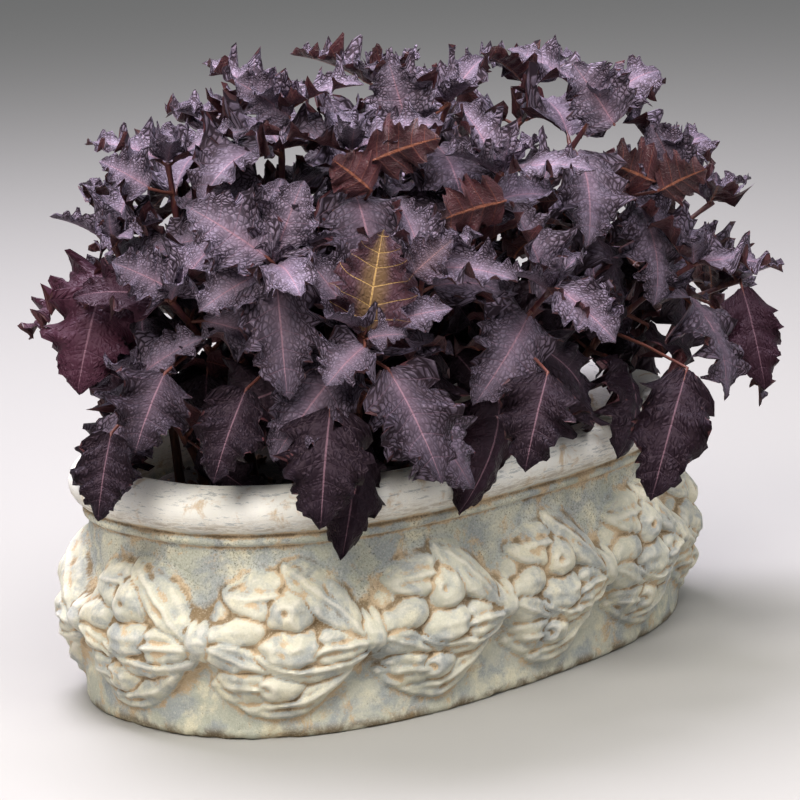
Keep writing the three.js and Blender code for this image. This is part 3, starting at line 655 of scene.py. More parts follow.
# %% Soil material
def soil_material():
    """Peat and bark: very matt and nearly black when damp, with browner bits."""
    material, tree = new_material("potting_soil_damp")
    place = add_node(tree, "TexCoord", output="Object")
    marks = add_node(tree, "Attribute", output="Vector", attribute_name="marks")
    bark, _, is_crumb = add_node(tree, "SeparateXYZ", {0: marks}).node.outputs
    fibre = {"Vector": place, "Scale": 1 / (3 * MM), "Detail": 6.0, "Roughness": 0.75}
    fibre = add_node(tree, "TexNoise", fibre)
    brown = add_node(tree, "Math", {0: bark, 1: is_crumb}, operation="MULTIPLY")
    base = layered_colour(tree, colour("#120d0b"), [
        (fibre, 0.35, 0.7, 1.0, "#3a2c24"),
        (brown, 0.6, 0.9, 0.7, "#6b4a33"),
    ])
    bump = add_node(tree, "Bump", {"Height": fibre, "Strength": 0.8, "Distance": 1.2 * MM})
    surface = {"Base Color": base, "Roughness": 0.95, "IOR": 1.45, "Normal": bump}
    add_node(tree, "OutputMaterial", {0: add_node(tree, "BsdfPrincipled", surface)})
    return material


triangles = make_piece("potting_soil_fill", soil, [soil_material()], ["soil"], sharp=50)
print("Soil:", triangles, "triangles")

# %% [markdown]
# ## Where the leaves grow
#
# A basil stem carries leaves in crossed pairs, smallest at the tip. The CAD places them by a rule:
# each stem has a root, a tip and a bearing, and each leaf turns a little until it finds room. The same
# rule is repeated here. Which of the turns the CAD chose is read off its mesh, where the leaf's point
# lies half a blade's thickness above and below the middle of the blade.

# %% Stems and pairs
STEMS = [  # name, root, tip, bearing, size
    ("stem_front_a", (-108, -33), (-184, -84, 291), 45, 1.05),
    ("stem_front_b", (-108, -74), (-159, -129, 250), 110, 1.0),
    ("stem_front_c", (-134, -10), (-222, -33, 271), 135, 1.0),
    ("stem_left_a", (-148, 24), (-178, 11, 346), 135, 0.95),
    ("stem_left_b", (-162, 30), (-209, 30, 298), 45, 0.95),
    ("stem_left_c", (-166, 0), (-234, -6, 219), 110, 0.95),
    ("stem_top_a", (-54, -22), (-108, -79, 351), 135, 1.05),
    ("stem_top_b", (-86, 6), (-126, -37, 375), 100, 1.0),
    ("stem_top_c", (-18, -12), (-11, -73, 370), 150, 1.0),
    ("stem_front_d", (-52, -62), (-113, -141, 284), 60, 0.95),
    ("stem_front_e", (-10, -82), (-30, -169, 261), 90, 1.0),
    ("stem_front_f", (-5, -48), (-34, -134, 332), 85, 1.0),
    ("stem_right_a", (45, -33), (63, -137, 363), 135, 1.1),
    ("stem_right_b", (86, -24), (123, -141, 324), 130, 1.0),
    ("stem_right_c", (96, -60), (130, -158, 254), 135, 1.05),
    ("stem_right_d", (140, -22), (251, -84, 275), 60, 1.0),
    ("stem_right_e", (152, 0), (255, -104, 221), 20, 1.0),
    ("stem_back_a", (-108, 54), (-141, 89, 311), 30, 1.0),
    ("stem_back_b", (-45, 54), (-67, 76, 350), 75, 1.0),
    ("stem_back_c", (-18, 70), (-9, 123, 277), 20, 1.0),
    ("stem_back_d", (45, 44), (48, 44, 371), 110, 1.0),
    ("stem_back_e", (88, 60), (151, 81, 295), 60, 1.0),
    ("stem_back_f", (118, 22), (148, -6, 363), 0, 1.0),
]
PAIRS = [  # share of the stem, length, width, stalk, rise, swing, bend, lobes, from the tip down
    (0.99, 58, 42, 4, 36, 32, 40, 2),
    (0.87, 80, 56, 9, 12, 44, 60, 3),
    (0.7, 92, 62, 15, -4, 42, 66, 4),
    (0.48, 92, 58, 24, -16, 26, 60, 3),
]
DOME = np.array([275, 200, 170])
DOME_HEIGHT = 226
TURNS = (0, 12, -12, 24, -24, 38, -38, 52)  # what a leaf tries until it finds room: degrees to turn,
LIFTS = (0, 10, -12, 22, -24)  # degrees to lift,
SHRINKS = (1, 0.85, 0.7)  # and how much of its size to keep
BLADE = 0.9  # thickness of a leaf in the CAD
UP = np.array([0, 0, 1.0])
print("Stems:", len(STEMS), "with", 2 * len(PAIRS), "leaves each, where there is room")


# %% Placing a leaf
def draw(seed):
    """A number from 0 to 1 that looks drawn by chance and is always the same for its seed."""
    value = math.sin(seed * 12.9898 + 4.1414) * 43758.5453
    return value - math.floor(value)


def unit(vector):
    return vector / np.linalg.norm(vector)


def direction(bearing, rise):
    """The unit vector at a bearing and at a rise above level, both in radians."""
    return np.array([math.cos(bearing) * math.cos(rise), math.sin(bearing) * math.cos(rise), math.sin(rise)])


def stem_point(stem, t):
    """A point of a stem's middle line, from the soil at 0 to its tip at 1."""
    _, root, tip, _, _ = stem
    foot, end = np.array([*root, SOIL_TOP], float), np.array(tip, float)
    knee = foot + (end - foot) * [0.12, 0.12, 0.55]
    return (1 - t) ** 2 * foot + 2 * t * (1 - t) * knee + t ** 2 * end


def place_leaf(stem, stem_number, pair_number, side, attempt):
    """All that fixes one leaf, for one of the ways in which it may turn to find room."""
    shrink, way = divmod(attempt, len(TURNS) * len(LIFTS))
    lift, way = divmod(way, len(TURNS))
    share_up, length, width, stalk, pair_rise, swing, bend, lobes = PAIRS[pair_number]
    seed = stem_number * 40 + pair_number * 6 + side * 3
    node = stem_point(stem, share_up)
    out = unit((node - [0, 0, DOME_HEIGHT]) / DOME ** 2)
    bearing = math.radians(stem[3] + pair_number * 90 + side * 180 + TURNS[way] + 24 * (draw(seed) - 0.5))
    facing = math.cos(bearing - math.atan2(out[1], out[0])) * math.hypot(out[0], out[1])
    rise = math.radians(pair_rise - swing * facing + LIFTS[lift] + 16 * (draw(seed + 1) - 0.5))
    heading = direction(bearing, rise)
    size = stem[4] * SHRINKS[shrink] * (0.92 + 0.16 * draw(seed + 2))
    upright = UP + 1.3 * out
    face = unit(upright - heading * (upright @ heading))
    return {
        "node": node, "heading": heading, "face": face, "across": np.cross(heading, face),
        "start": node + unit(heading + 0.25 * UP) * stalk * size,
        "length": length * size, "width": width * size, "size": size, "lobes": lobes,
        "bend": math.radians(bend * (0.7 + 0.3 * facing + 0.3 * draw(seed + 3))),
        "cup": 0.1 - 0.35 * facing, "twist": math.radians(30 * (draw(seed + 4) - 0.5)),
        "phase": 2 * math.pi * draw(seed + 5), "seed": seed,
    }


print("A leaf has", len(TURNS) * len(LIFTS) * len(SHRINKS), "ways to stand")

# %% [markdown]
# ## The form of a leaf
#
# A blade is a sheet bent along its midrib, cupped across it, and ruffled more and more towards its
# edge. The formula takes arrays of places along and across, so one call gives a whole leaf. It is the
# CAD's own, with room for an added height that carries the puckers and the frill.

# %% Blade surface
BELLY, TAPER = 0.6, 0.95
WIDEST = BELLY / (BELLY + TAPER)


def half_width(leaf, u):
    return leaf["width"] / 2 * (u / WIDEST) ** BELLY * ((1 - u) / (1 - WIDEST)) ** TAPER


def blade_point(leaf, u, v, added=0.0):
    """Points of a leaf: u runs from its foot to its tip, v from edge to edge, -1 to 1."""
    u, v = np.broadcast_arrays(np.asarray(u, float), np.asarray(v, float))
    half = half_width(leaf, u)
    angle, radius = leaf["bend"] * u, leaf["length"] / leaf["bend"]
    face, heading, across = leaf["face"], leaf["heading"], leaf["across"]
    normal = face * np.cos(angle)[..., None] + heading * np.sin(angle)[..., None]
    roll = (leaf["twist"] * u)[..., None]
    side = across * np.cos(roll) + normal * np.sin(roll)
    up = normal * np.cos(roll) - across * np.sin(roll)
    wave = np.sin(2 * np.pi * 2.5 * u + leaf["phase"] + np.where(v > 0, 1.7, 0))
    lift = half * (leaf["cup"] * v * v + 0.22 * np.abs(v) ** 1.5 * wave) + added
    forward, down = radius * np.sin(angle), radius * (1 - np.cos(angle))
    midrib = leaf["start"] + heading * forward[..., None] - face * down[..., None]
    return midrib + side * (v * half)[..., None] + up * lift[..., None]


def node_points(name):
    """The points of a CAD node, in millimetres."""
    points = np.empty(len(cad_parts[name].data.vertices) * 3, np.float32)
    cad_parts[name].data.vertices.foreach_get("co", points)
    return points.reshape(-1, 3).astype(float) / MM


def leaves_of(stem, stem_number):
    """The leaves that the CAD gave a stem, with the turn that it chose for each."""
    points, found = node_points(stem[0]), []
    for pair_number, side in product(range(len(PAIRS)), (0, 1)):
        for attempt in range(len(TURNS) * len(LIFTS) * len(SHRINKS)):
            leaf = place_leaf(stem, stem_number, pair_number, side, attempt)
            distance = np.linalg.norm(points - blade_point(leaf, 1.0, 0.0), axis=1)
            if (np.abs(distance - BLADE / 2) < 0.02).sum() >= 2:
                found.append({**leaf, "pair": pair_number, "side": side})
                break
    return found


plants = [(stem, leaves_of(stem, number)) for number, stem in enumerate(STEMS)]
print("Leaves found on the CAD:", sum(len(leaves) for _, leaves in plants), "on", len(plants), "stems")

# %% [markdown]
# ## Veins, puckers and teeth
#
# On the real leaf the side veins lean forward, each ends in a tooth, and the skin swells up between
# them, which makes the leaf look quilted. If the mesh's own rows lean forward with the veins, every
# vein is a row of edges, every tooth a corner, and the quilting falls between. So each tooth gets five
# rows: four that climb to its point, and one in the notch behind it.

# %% Leaf mesh
ROWS_PER_TOOTH = 5
TOOTH_RISE = np.array([0.25, 0.5, 0.75, 1.0, 0.0])  # how far each of the five rows reaches to the point
VEIN_ROW = 3  # the row that ends in the tooth's point
LEAN = 0.28  # how much further forward a side vein ends than it starts, as a share of the leaf
COARSE_NOTCH, COARSE_POINT, COARSE_LEAN = 0.78, 1.06, 0.62  # the CAD's few large teeth


def coarse_edge(leaf, u):
    """The CAD's edge as a share of the half width, with its few large teeth."""
    x = np.clip(u, 0, 1) * leaf["lobes"]
    part = x - np.floor(x)
    climb = np.where(part < COARSE_LEAN, part / COARSE_LEAN, (1 - part) / (1 - COARSE_LEAN))
    return COARSE_NOTCH + (COARSE_POINT - COARSE_NOTCH) * climb


def leaf_rows(leaf, teeth, columns, rng):
    """Rows s from foot to tip and columns t from edge to edge, and where in the blade, u and v, they lie."""
    rows = teeth * ROWS_PER_TOOTH
    s = np.linspace(0.012, 1, rows + 1)[:, None]
    s = s + 0.022 * np.sin(np.pi * s) * np.sin(9 * s + leaf["phase"] * 2)  # no two teeth are as far apart
    t = np.linspace(-1, 1, columns + 1)
    t = (np.sign(t) * np.abs(t) ** 0.9)[None, :]
    edge, left = np.abs(t), t < 0
    row = np.arange(rows + 1) % ROWS_PER_TOOTH
    tooth = np.minimum(np.arange(rows + 1) // ROWS_PER_TOOTH, teeth - 1)
    jagged = rng.uniform(-0.3, 0.3, (2, rows + 1)) * np.isin(row, (0, 1, 2))
    reach = TOOTH_RISE[row][:, None] + np.where(left, jagged[0][:, None], jagged[1][:, None])
    depths = rng.uniform(0.06, 0.36, (2, teeth))
    depth = np.where(left, depths[0][tooth][:, None], depths[1][tooth][:, None]) * np.clip(s / 0.1, 0, 1)
    point = (row == VEIN_ROW)[:, None] * edge ** 5 * 0.02 * np.clip((1 - s) / 0.1, 0, 1)
    u = np.clip(s + LEAN * edge * (1 - s) * (1 - (1 - s) ** 6) + point, 0.004, 1)
    outline = 1.06 + 0.75 * (coarse_edge(leaf, u) - 0.95) - depth * (1 - reach)
    return s, t, u, t * (1 + (outline - 1) * edge ** 1.5)


print("Rows for each tooth:", ROWS_PER_TOOTH)

# %% Quilting and frills
FRILLS = (0.32, 0.18)  # heights of the two waves along a margin, as shares of the half width


def quilting(s, t, from_vein, rng):
    """How far the skin swells up between the veins, from 0 to 1."""
    edge = np.abs(t)
    teeth = (len(s) - 1) // ROWS_PER_TOOTH
    tooth = np.minimum(np.arange(len(s)) // ROWS_PER_TOOTH, teeth - 1)
    chance = rng.uniform(0, 2 * np.pi, (teeth + 1, 2))[tooth]
    cells = 0.6 + 0.4 * np.sin(2 * np.pi * 2.6 * edge + np.where(t < 0, chance[:, :1], chance[:, 1:]))
    swell = np.sin(np.pi * from_vein) ** 2 * cells
    return swell * np.clip(edge * 5, 0, 1) * (1 - edge ** 6) * np.clip((1 - s) * 4, 0, 1)


def frilling(leaf, teeth, s, t):
    """Two waves along each margin that don't keep step, as a share of the half width."""
    shift = np.where(t < 0, 0, 2.1)
    frill = FRILLS[0] * np.sin(np.pi * s * teeth + leaf["phase"] * 3 + shift)
    return frill + FRILLS[1] * np.sin(2 * np.pi * s * teeth * 0.93 + leaf["phase"] * 5 - shift)


print("A margin waves by up to", sum(FRILLS), "of the half width")

# %% Both faces of a blade
BODY = 0.34  # half of a blade's thickness, which thins out at its edge
CRUMPLES = [(9.0, 2.1, 0.15), (5.0, 0.5, 0.3)]  # how far apart the bumps are, how high, and where they start


def leaf_grid(leaf, teeth, columns):
    """Top and bottom points of a blade, rows by columns, and what its material reads."""
    rng = np.random.default_rng(leaf["seed"] + 100)
    s, t, u, v = leaf_rows(leaf, teeth, columns, rng)
    edge, half, curl = np.abs(t), half_width(leaf, u), leaf["curl"]
    number = np.arange(len(s))[:, None]
    from_vein = (number - VEIN_ROW) / ROWS_PER_TOOTH
    quilt = quilting(s, t, from_vein, rng)
    size = leaf["size"] * leaf["length"] / 90
    trench = -1.0 * size * np.exp(-((edge * half / 1.5) ** 2))
    margin = edge ** 3 * frilling(leaf, teeth, s, t) + 0.7 * curl * edge ** 2
    lift = 2.3 * size * quilt + trench + half * margin
    middle = blade_point(leaf, u, v * (1 - 0.32 * np.abs(curl * edge ** 2)), lift)
    for apart, push, from_edge in CRUMPLES:
        crumple = np.stack([noise(middle, apart, seed) for seed in (21, 22, 23)], -1)
        middle = middle + push * size * crumple * np.clip(edge * 1.5 - from_edge, 0.05, 1)[..., None]
    normal = np.cross(np.gradient(middle, axis=1), np.gradient(middle, axis=0))
    normal[-1] = normal[-2]
    normal /= np.maximum(np.linalg.norm(normal, axis=-1, keepdims=True), 1e-9)
    body = BODY * (1 - edge ** 8) * np.ones_like(s)
    midrib = 1.15 * (1 - s) * np.exp(-((edge * half / 1.3) ** 2))
    ribs = midrib + 0.3 * (number % ROWS_PER_TOOTH == VEIN_ROW) * (1 - edge) * (1 - s)
    top, bottom = middle + normal * body[..., None], middle - normal * (body + ribs)[..., None]
    uv = np.stack(np.broadcast_arrays(from_vein + 0.5, t), -1)
    marks = np.stack(np.broadcast_arrays(s, quilt, leaf["kind"]), -1)
    return top, bottom, uv, marks


trial_leaf = {**plants[0][1][0], "kind": 1.0, "curl": 0.2}
print("The first leaf's face is a grid of", leaf_grid(trial_leaf, 7, 18)[0].shape[:2])


# %% Closed blade
def add_leaf(shape, leaf, teeth, columns, finishes=(0, 1)):
    """Adds a blade as a closed lens: two sheets that share their edge and meet in one point."""
    top, bottom, uv, marks = leaf_grid(leaf, teeth, columns)
    rows, width = top.shape[0] - 1, columns + 1
    number = np.arange(rows * width).reshape(rows, width)
    inner = np.zeros((rows, width), bool)
    inner[1:, 1:-1] = True
    under = number.copy()
    under[inner] = rows * width + 1 + np.arange(inner.sum())
    tip = rows * width
    edge_middle = (top + bottom) / 2
    points_top = np.where(inner[..., None], top[:rows], edge_middle[:rows]).reshape(-1, 3)
    points = np.concatenate([points_top, edge_middle[rows, :1], bottom[:rows][inner]])

    def all_of(field):
        upper = field[:rows].reshape(-1, field.shape[-1])
        return np.concatenate([upper, field[rows, width // 2][None], field[:rows][inner]])

    def sheet(numbers, flip):
        quads = [numbers[:-1, :-1], numbers[:-1, 1:], numbers[1:, 1:], numbers[1:, :-1]]
        quads = np.stack(quads, -1).reshape(-1, 4)
        fan = np.stack([numbers[-1, :-1], numbers[-1, 1:], np.full(width - 1, tip)], -1)
        return [quads[:, ::-1], fan[:, ::-1]] if flip else [quads, fan]

    start = shape.count
    shape.add(points, sheet(number, False), finishes[0], all_of(uv), all_of(marks))
    for group in sheet(under, True):
        shape.faces.append((group + start, finishes[1]))


trial = Shape()
add_leaf(trial, trial_leaf, 7, 18)
print("The first leaf has", trial.count, "points")


# %% Tubes
def add_tube(shape, path, radii, sides, finish, colour_mark=0.0, square=0.0):
    """Adds a closed tube along points, round or with four soft corners."""
    path, radii = np.asarray(path, float), np.asarray(radii, float)
    along = np.gradient(path, axis=0)
    along /= np.linalg.norm(along, axis=1, keepdims=True)
    side = np.cross(along, [0.31, 0.95, 0.05])
    side /= np.linalg.norm(side, axis=1, keepdims=True)
    up = np.cross(along, side)
    angle = np.arange(sides) / sides * 2 * np.pi
    bulge = 1 + square * np.cos(4 * angle)
    spokes = side[:, None] * np.cos(angle)[None, :, None] + up[:, None] * np.sin(angle)[None, :, None]
    points = path[:, None] + spokes * (radii[:, None] * bulge[None])[..., None]
    n = len(path)
    faces = [grid_faces(n, sides, closed=True)]
    ring = np.arange(sides)
    ends = points.shape[0] * sides
    faces.append(np.stack([np.full(sides, ends), np.roll(ring, -1), ring], -1))
    last = (n - 1) * sides + ring
    faces.append(np.stack([np.full(sides, ends + 1), last, np.roll(last, -1)], -1))
    marks = np.zeros((ends + 2, 3))
    marks[:, 0] = np.concatenate([np.repeat(np.linspace(0, 1, n), sides), [0, 1]])
    marks[:, 2] = colour_mark
    shape.add(np.concatenate([points.reshape(-1, 3), path[:1], path[-1:]]), faces, finish, marks=marks)


trial = Shape()
add_tube(trial, [(0, 0, 0), (0, 0, 10), (0, 0, 20)], [3, 2, 1], 12, 2)
print("A tube of three rings has", trial.count, "points")

# %% [markdown]
# ## Leaf and stem finishes
#
# The upper face of this basil is nearly black purple with a cool sheen: a waxy skin over dark cells,
# quilted, with mauve veins. Its underside is maroon with veins of orange tan. A picture of a leaf could
# be mapped on. Here the veins follow the mesh's own rows, so the material finds them from the leaf
# coordinates, and they stay thin and sharp however coarse the mesh is.

# %% Where the veins run
def vein_pattern(tree, midrib_width, side_width):
    """The midrib, the side veins, the distance to the fine net, and how far a place is from the midrib."""
    uv = add_node(tree, "UVMap", uv_map="blade")
    forward, aside, _ = add_node(tree, "SeparateXYZ", {0: uv}).node.outputs
    off_middle = add_node(tree, "Math", {0: aside}, operation="ABSOLUTE")
    midrib = add_node(tree, "MapRange", {0: off_middle, 1: midrib_width, 2: midrib_width * 0.25}, **SMOOTH)
    off_vein = add_node(tree, "Math", {0: forward}, operation="FRACT")
    off_vein = add_node(tree, "Math", {0: off_vein, 1: 0.5}, operation="SUBTRACT")
    off_vein = add_node(tree, "Math", {0: off_vein}, operation="ABSOLUTE")
    narrowing = {0: off_middle, 1: -side_width, 2: 1.15 * side_width}  # towards the margin
    width = add_node(tree, "Math", narrowing, operation="MULTIPLY_ADD")
    side = add_node(tree, "MapRange", {0: off_vein, 1: width, 2: 0.0}, **SMOOTH)
    stretched = add_node(tree, "VectorMath", {0: uv, 1: (3.3, 9.0, 1.0)}, operation="MULTIPLY")
    cells = {"Vector": stretched, "Scale": 1.0}
    net = add_node(tree, "TexVoronoi", cells, output="Distance", feature="DISTANCE_TO_EDGE")
    return midrib, side, net, off_middle


trial_material, trial_tree = new_material("vein_trial")
vein_pattern(trial_tree, 0.05, 0.07)
print("Nodes in the vein pattern:", len(trial_tree.nodes))
bpy.data.materials.remove(trial_material)


# %% Upper face of the leaf
def upper_leaf_material():
    """Waxy, quilted upper face: nearly black purple with a cool sheen, paler and mauve while it unfolds, with
    painted sky light on the upper leaves and painted light and shade on the puckers.
    """
    material, tree = new_material("basil_leaf_upper")
    midrib, side, net, off_middle = vein_pattern(tree, 0.032, 0.05)
    marks = add_node(tree, "Attribute", output="Vector", attribute_name="marks")
    along, quilt, kind = add_node(tree, "SeparateXYZ", {0: marks}).node.outputs
    place = add_node(tree, "TexCoord", output="Object")
    cloud = add_node(tree, "TexNoise", {"Vector": place, "Scale": 1 / (20 * MM), "Detail": 3.0})
    wrinkles = {"Vector": place, "Scale": 1 / (8 * MM), "Detail": 2.0, "Distortion": 0.6}
    wrinkles = add_node(tree, "TexNoise", wrinkles)
    # how pale a leaf is: its age, and painted light of the sky on the upper pairs
    young_and_lit = add_node(tree, "MapRange", {0: kind, 1: 0.0, 2: 1.0, 3: 0.05, 4: 0.6})
    towards_tip = add_node(tree, "MapRange", {0: along, 1: 0.9, 2: 0.1, 4: young_and_lit})
    towards_edge = add_node(tree, "MapRange", {0: off_middle, 1: 0.08, 2: 0.75, 3: 0.36})
    blisters = add_node(tree, "MapRange", {0: net, 1: 0.0, 2: 0.4, 4: towards_edge}, **SMOOTH)
    crumple = add_node(tree, "Math", {0: wrinkles, 1: towards_edge}, operation="MULTIPLY")
    # painted shade in the creases of the blisters and painted highlight on their ridges
    crease_shade = add_node(tree, "MapRange", {0: net, 1: 0.2, 2: 0.04, 4: towards_edge}, **SMOOTH)
    ridge_highlight = add_node(tree, "MapRange", {0: net, 1: 0.25, 2: 0.5, 4: towards_edge}, **SMOOTH)
    heart = add_node(tree, "MapRange", {0: off_middle, 1: 0.55, 2: 0.0, 4: 1.0}, **SMOOTH)
    is_gold = add_node(tree, "MapRange", {0: kind, 1: 1.2, 2: 2.0})
    rib = add_node(tree, "MapRange", {0: kind, 1: 0.0, 2: 1.0, 3: 0.4, 4: 0.75})
    base = layered_colour(tree, colour("#140c13"), [
        (kind, 0.05, 1.0, 0.88, "#807384"),  # paler leaves: newly unfolded, and painted light of the sky on the top of the bush
        (cloud, 0.4, 0.66, 0.3, "#271d25"),
        (quilt, 0.1, 0.85, young_and_lit, "#544651"),  # painted highlight on the swollen skin between the veins
        (off_middle, 0.3, 0.0, towards_tip, "#7f6271"),  # mauve along the lower midrib
        (crease_shade, 0.0, 1.0, 0.9, "#120a0e"),  # painted shade in the creases between the blisters
        (ridge_highlight, 0.0, 1.0, young_and_lit, "#988c9b"),  # and painted highlight on their tops
    ])
    gold = add_node(tree, "Math", {0: heart, 1: is_gold}, operation="MULTIPLY")
    any_vein = add_node(tree, "Math", {0: midrib, 1: side}, operation="MAXIMUM")
    gold_vein = add_node(tree, "Math", {0: any_vein, 1: is_gold}, operation="MULTIPLY")
    base = layered_colour(tree, base, [
        (kind, 1.1, 1.9, 0.85, "#40262b"),  # some leaves turn red brown
        (gold, 0.0, 1.0, 0.55, "#7a6237"),  # with a golden heart
        (kind, 0.0, -1.0, 0.7, "#42222f"),  # and some leaves stay wine red
        (side, 0.0, 1.0, young_and_lit, "#7a5d6c"),
        (midrib, 0.0, 1.0, rib, "#94707c"),
        (gold_vein, 0.0, 1.0, 0.8, "#b5934f"),
    ])
    bump = add_node(tree, "Bump", {"Height": blisters, "Strength": 0.85, "Distance": 1.1 * MM})
    bump = add_node(tree, "Bump", {"Height": crumple, "Strength": 0.3, "Distance": 2.4 * MM, "Normal": bump})
    sunk = {"Height": side, "Strength": 0.5, "Distance": 0.6 * MM, "Normal": bump}
    bump = add_node(tree, "Bump", sunk, invert=True)  # the side veins lie sunk in the upper face
    rough = add_node(tree, "MapRange", {0: cloud, 1: 0.3, 2: 0.7, 3: 0.42, 4: 0.6})
    bloom = add_node(tree, "Math", {0: young_and_lit, 1: 0.3}, operation="MULTIPLY")
    surface = {
        "Base Color": base, "Roughness": rough, "IOR": 1.42, "Specular Tint": colour("#b89ead"),
        "Sheen Weight": bloom, "Sheen Roughness": 0.35, "Sheen Tint": colour("#cdc6e4"), "Normal": bump,
    }
    add_node(tree, "OutputMaterial", {0: add_node(tree, "BsdfPrincipled", surface)})
    return material


finishes = [upper_leaf_material()]
print("Nodes in the upper face:", len(finishes[0].node_tree.nodes))


# %% Underside of the leaf
def under_leaf_material():
    """Satin maroon underside with raised veins of orange tan."""
    material, tree = new_material("basil_leaf_under")
    midrib, side, net, _ = vein_pattern(tree, 0.07, 0.09)
    place = add_node(tree, "TexCoord", output="Object")
    cloud = add_node(tree, "TexNoise", {"Vector": place, "Scale": 1 / (26 * MM), "Detail": 3.0})
    base = layered_colour(tree, colour("#31171c"), [
        (cloud, 0.36, 0.66, 0.85, "#4c242a"),
        (net, 0.1, 0.0, 0.25, "#5e3232"),  # the fine net of veins
        (side, 0.0, 1.0, 0.5, "#7c453a"),
        (midrib, 0.0, 1.0, 0.85, "#965a42"),
    ])
    raised = add_node(tree, "MapRange", {0: net, 1: 0.16, 2: 0.0}, **SMOOTH)
    raised = add_node(tree, "Math", {0: side, 1: raised}, operation="MAXIMUM")
    bump = add_node(tree, "Bump", {"Height": raised, "Strength": 0.6, "Distance": 0.6 * MM})
    surface = {
        "Base Color": base, "Roughness": 0.5, "IOR": 1.45, "Sheen Weight": 0.12, "Sheen Roughness": 0.5,
        "Sheen Tint": colour("#c8a8b0"), "Normal": bump,
    }
    add_node(tree, "OutputMaterial", {0: add_node(tree, "BsdfPrincipled", surface)})
    return material


finishes.append(under_leaf_material())
print("Nodes in the underside:", len(finishes[1].node_tree.nodes))


# %% Stem
def stem_material():
    """Woody foot of orange brown that turns reddish purple towards the tip, with fine ribs."""
    material, tree = new_material("basil_stem_skin")
    marks = add_node(tree, "Attribute", output="Vector", attribute_name="marks")
    along, _, is_stalk = add_node(tree, "SeparateXYZ", {0: marks}).node.outputs
    place = add_node(tree, "TexCoord", output="Object")
    streaks = add_node(tree, "VectorMath", {0: place, 1: (1.0, 1.0, 0.16)}, operation="MULTIPLY")
    fibre = add_node(tree, "TexNoise", {"Vector": streaks, "Scale": 1 / (2.2 * MM), "Detail": 4.0})
    base = layered_colour(tree, colour("#4a2c22"), [
        (along, 0.25, 0.95, 1.0, "#4c262c"),
        (fibre, 0.45, 0.7, 0.55, "#7c4c34"),
        (is_stalk, 0.0, 1.0, 0.6, "#6c3d35"),
    ])
    bump = add_node(tree, "Bump", {"Height": fibre, "Strength": 0.4, "Distance": 0.4 * MM})
    surface = {"Base Color": base, "Roughness": 0.5, "IOR": 1.45, "Normal": bump}
    add_node(tree, "OutputMaterial", {0: add_node(tree, "BsdfPrincipled", surface)})
    return material


finishes.append(stem_material())
print("Finishes of a plant:", [material.name for material in finishes])

# %% [markdown]
# ## Ages, hues, painted light and small leaves
#
# A basil leaf is pale and mauve while it unfolds and darkens with age, its margin curls up at first and
# hangs down later, and a few leaves turn gold or wine red. The upper pairs are painted paler still, as
# painted light of the sky on the top of the bush, and the lower pairs darker, as painted shade. At the
# tip of each stem the next two pairs are still unfolding, and side shoots start in the angles between
# the lower stalks and the stem. The small leaves could be copies of one mesh. As each is worked out
# anew, no two are alike.

# %% Ages, hues and painted light
TEETH = {0: 7, 1: 8, 2: 8, 3: 7}  # teeth on each side of the leaves of each pair, counted from the tip
ACROSS = {0: 18, 1: 22, 2: 24, 3: 20}  # and columns across them
PALENESS_AND_LIGHT_BY_PAIR = {0: 1.0, 1: 0.65, 2: 0.1, 3: -0.1}  # how pale they are: partly their age, partly painted light on the upper pairs and painted shade on the lower ones
CURLS = {0: 0.25, 1: 0.2, 2: -0.2, 3: -0.5}  # how far their margins curl up, or hang down
KINDS = {  # leaves with a hue of their own, by stem, pair and side: gold is 2, wine red is -1
    ("stem_left_b", 1, 0): -1.0, ("stem_front_c", 0, 0): -0.5, ("stem_left_c", 0, 0): -0.3,
    ("stem_right_e", 1, 0): -0.5, ("stem_right_d", 1, 1): -0.4, ("stem_front_a", 2, 1): -0.3,
    ("stem_front_b", 2, 0): 0.9,
}
print("Leaves with a hue of their own:", len(KINDS))


# %% Unfolding leaves and side shoots
def small_leaf(node, seed, bearing, rise, length, bend, gap, **look):
    """A small leaf that starts a gap away from its node. Its angles are given in degrees."""
    heading = direction(math.radians(bearing), math.radians(rise))
    face = unit(UP - heading * heading[2])
    return {
        "node": node, "start": node + heading * gap, "heading": heading, "face": face,
        "across": np.cross(heading, face), "length": length, "lobes": 2, "bend": math.radians(bend),
        "phase": 6 * draw(seed + 0.8), "seed": seed, **look,
    }


def crown_leaf(stem, stem_number, ring_number, side):
    """A leaf that still unfolds at a stem's tip."""
    seed = 2000 + stem_number * 10 + ring_number * 2 + side
    bearing = stem[3] + 90 * (ring_number + 1) + 180 * side + 30 * (draw(seed) - 0.5)
    rise = 34 + 24 * ring_number + 14 * draw(seed + 0.3)
    length = (36, 21)[ring_number] * (0.9 + 0.3 * draw(seed + 0.6))
    return small_leaf(
        stem_point(stem, 1.0), seed, bearing, rise, length, 34 - 50 * ring_number, gap=1.5,
        width=0.74 * length, size=1.0, cup=0.3, twist=0.3 * (draw(seed + 0.9) - 0.5), kind=1.0, curl=0.3,
    )


def shoot_leaf(stem, stem_number, pair_number, side):
    """A leaf of a side shoot, in the angle between a lower leaf's stalk and the stem."""
    seed = 4000 + stem_number * 12 + pair_number * 3 + side
    bearing = stem[3] + 90 * pair_number + 50 + 180 * side + 60 * (draw(seed) - 0.5)
    rise, bend = 30 + 30 * draw(seed + 0.3), 50 + 30 * draw(seed + 0.7)
    length = (50, 54)[pair_number - 2] * (0.85 + 0.3 * draw(seed + 0.6))
    return small_leaf(
        stem_point(stem, PAIRS[pair_number][0]), seed, bearing, rise, length, bend, gap=0.22 * length,
        width=0.72 * length, size=0.9, cup=0.15, twist=0.5 * (draw(seed + 0.9) - 0.5), kind=0.4,
        curl=0.5 * draw(seed + 0.2) - 0.1,
    )


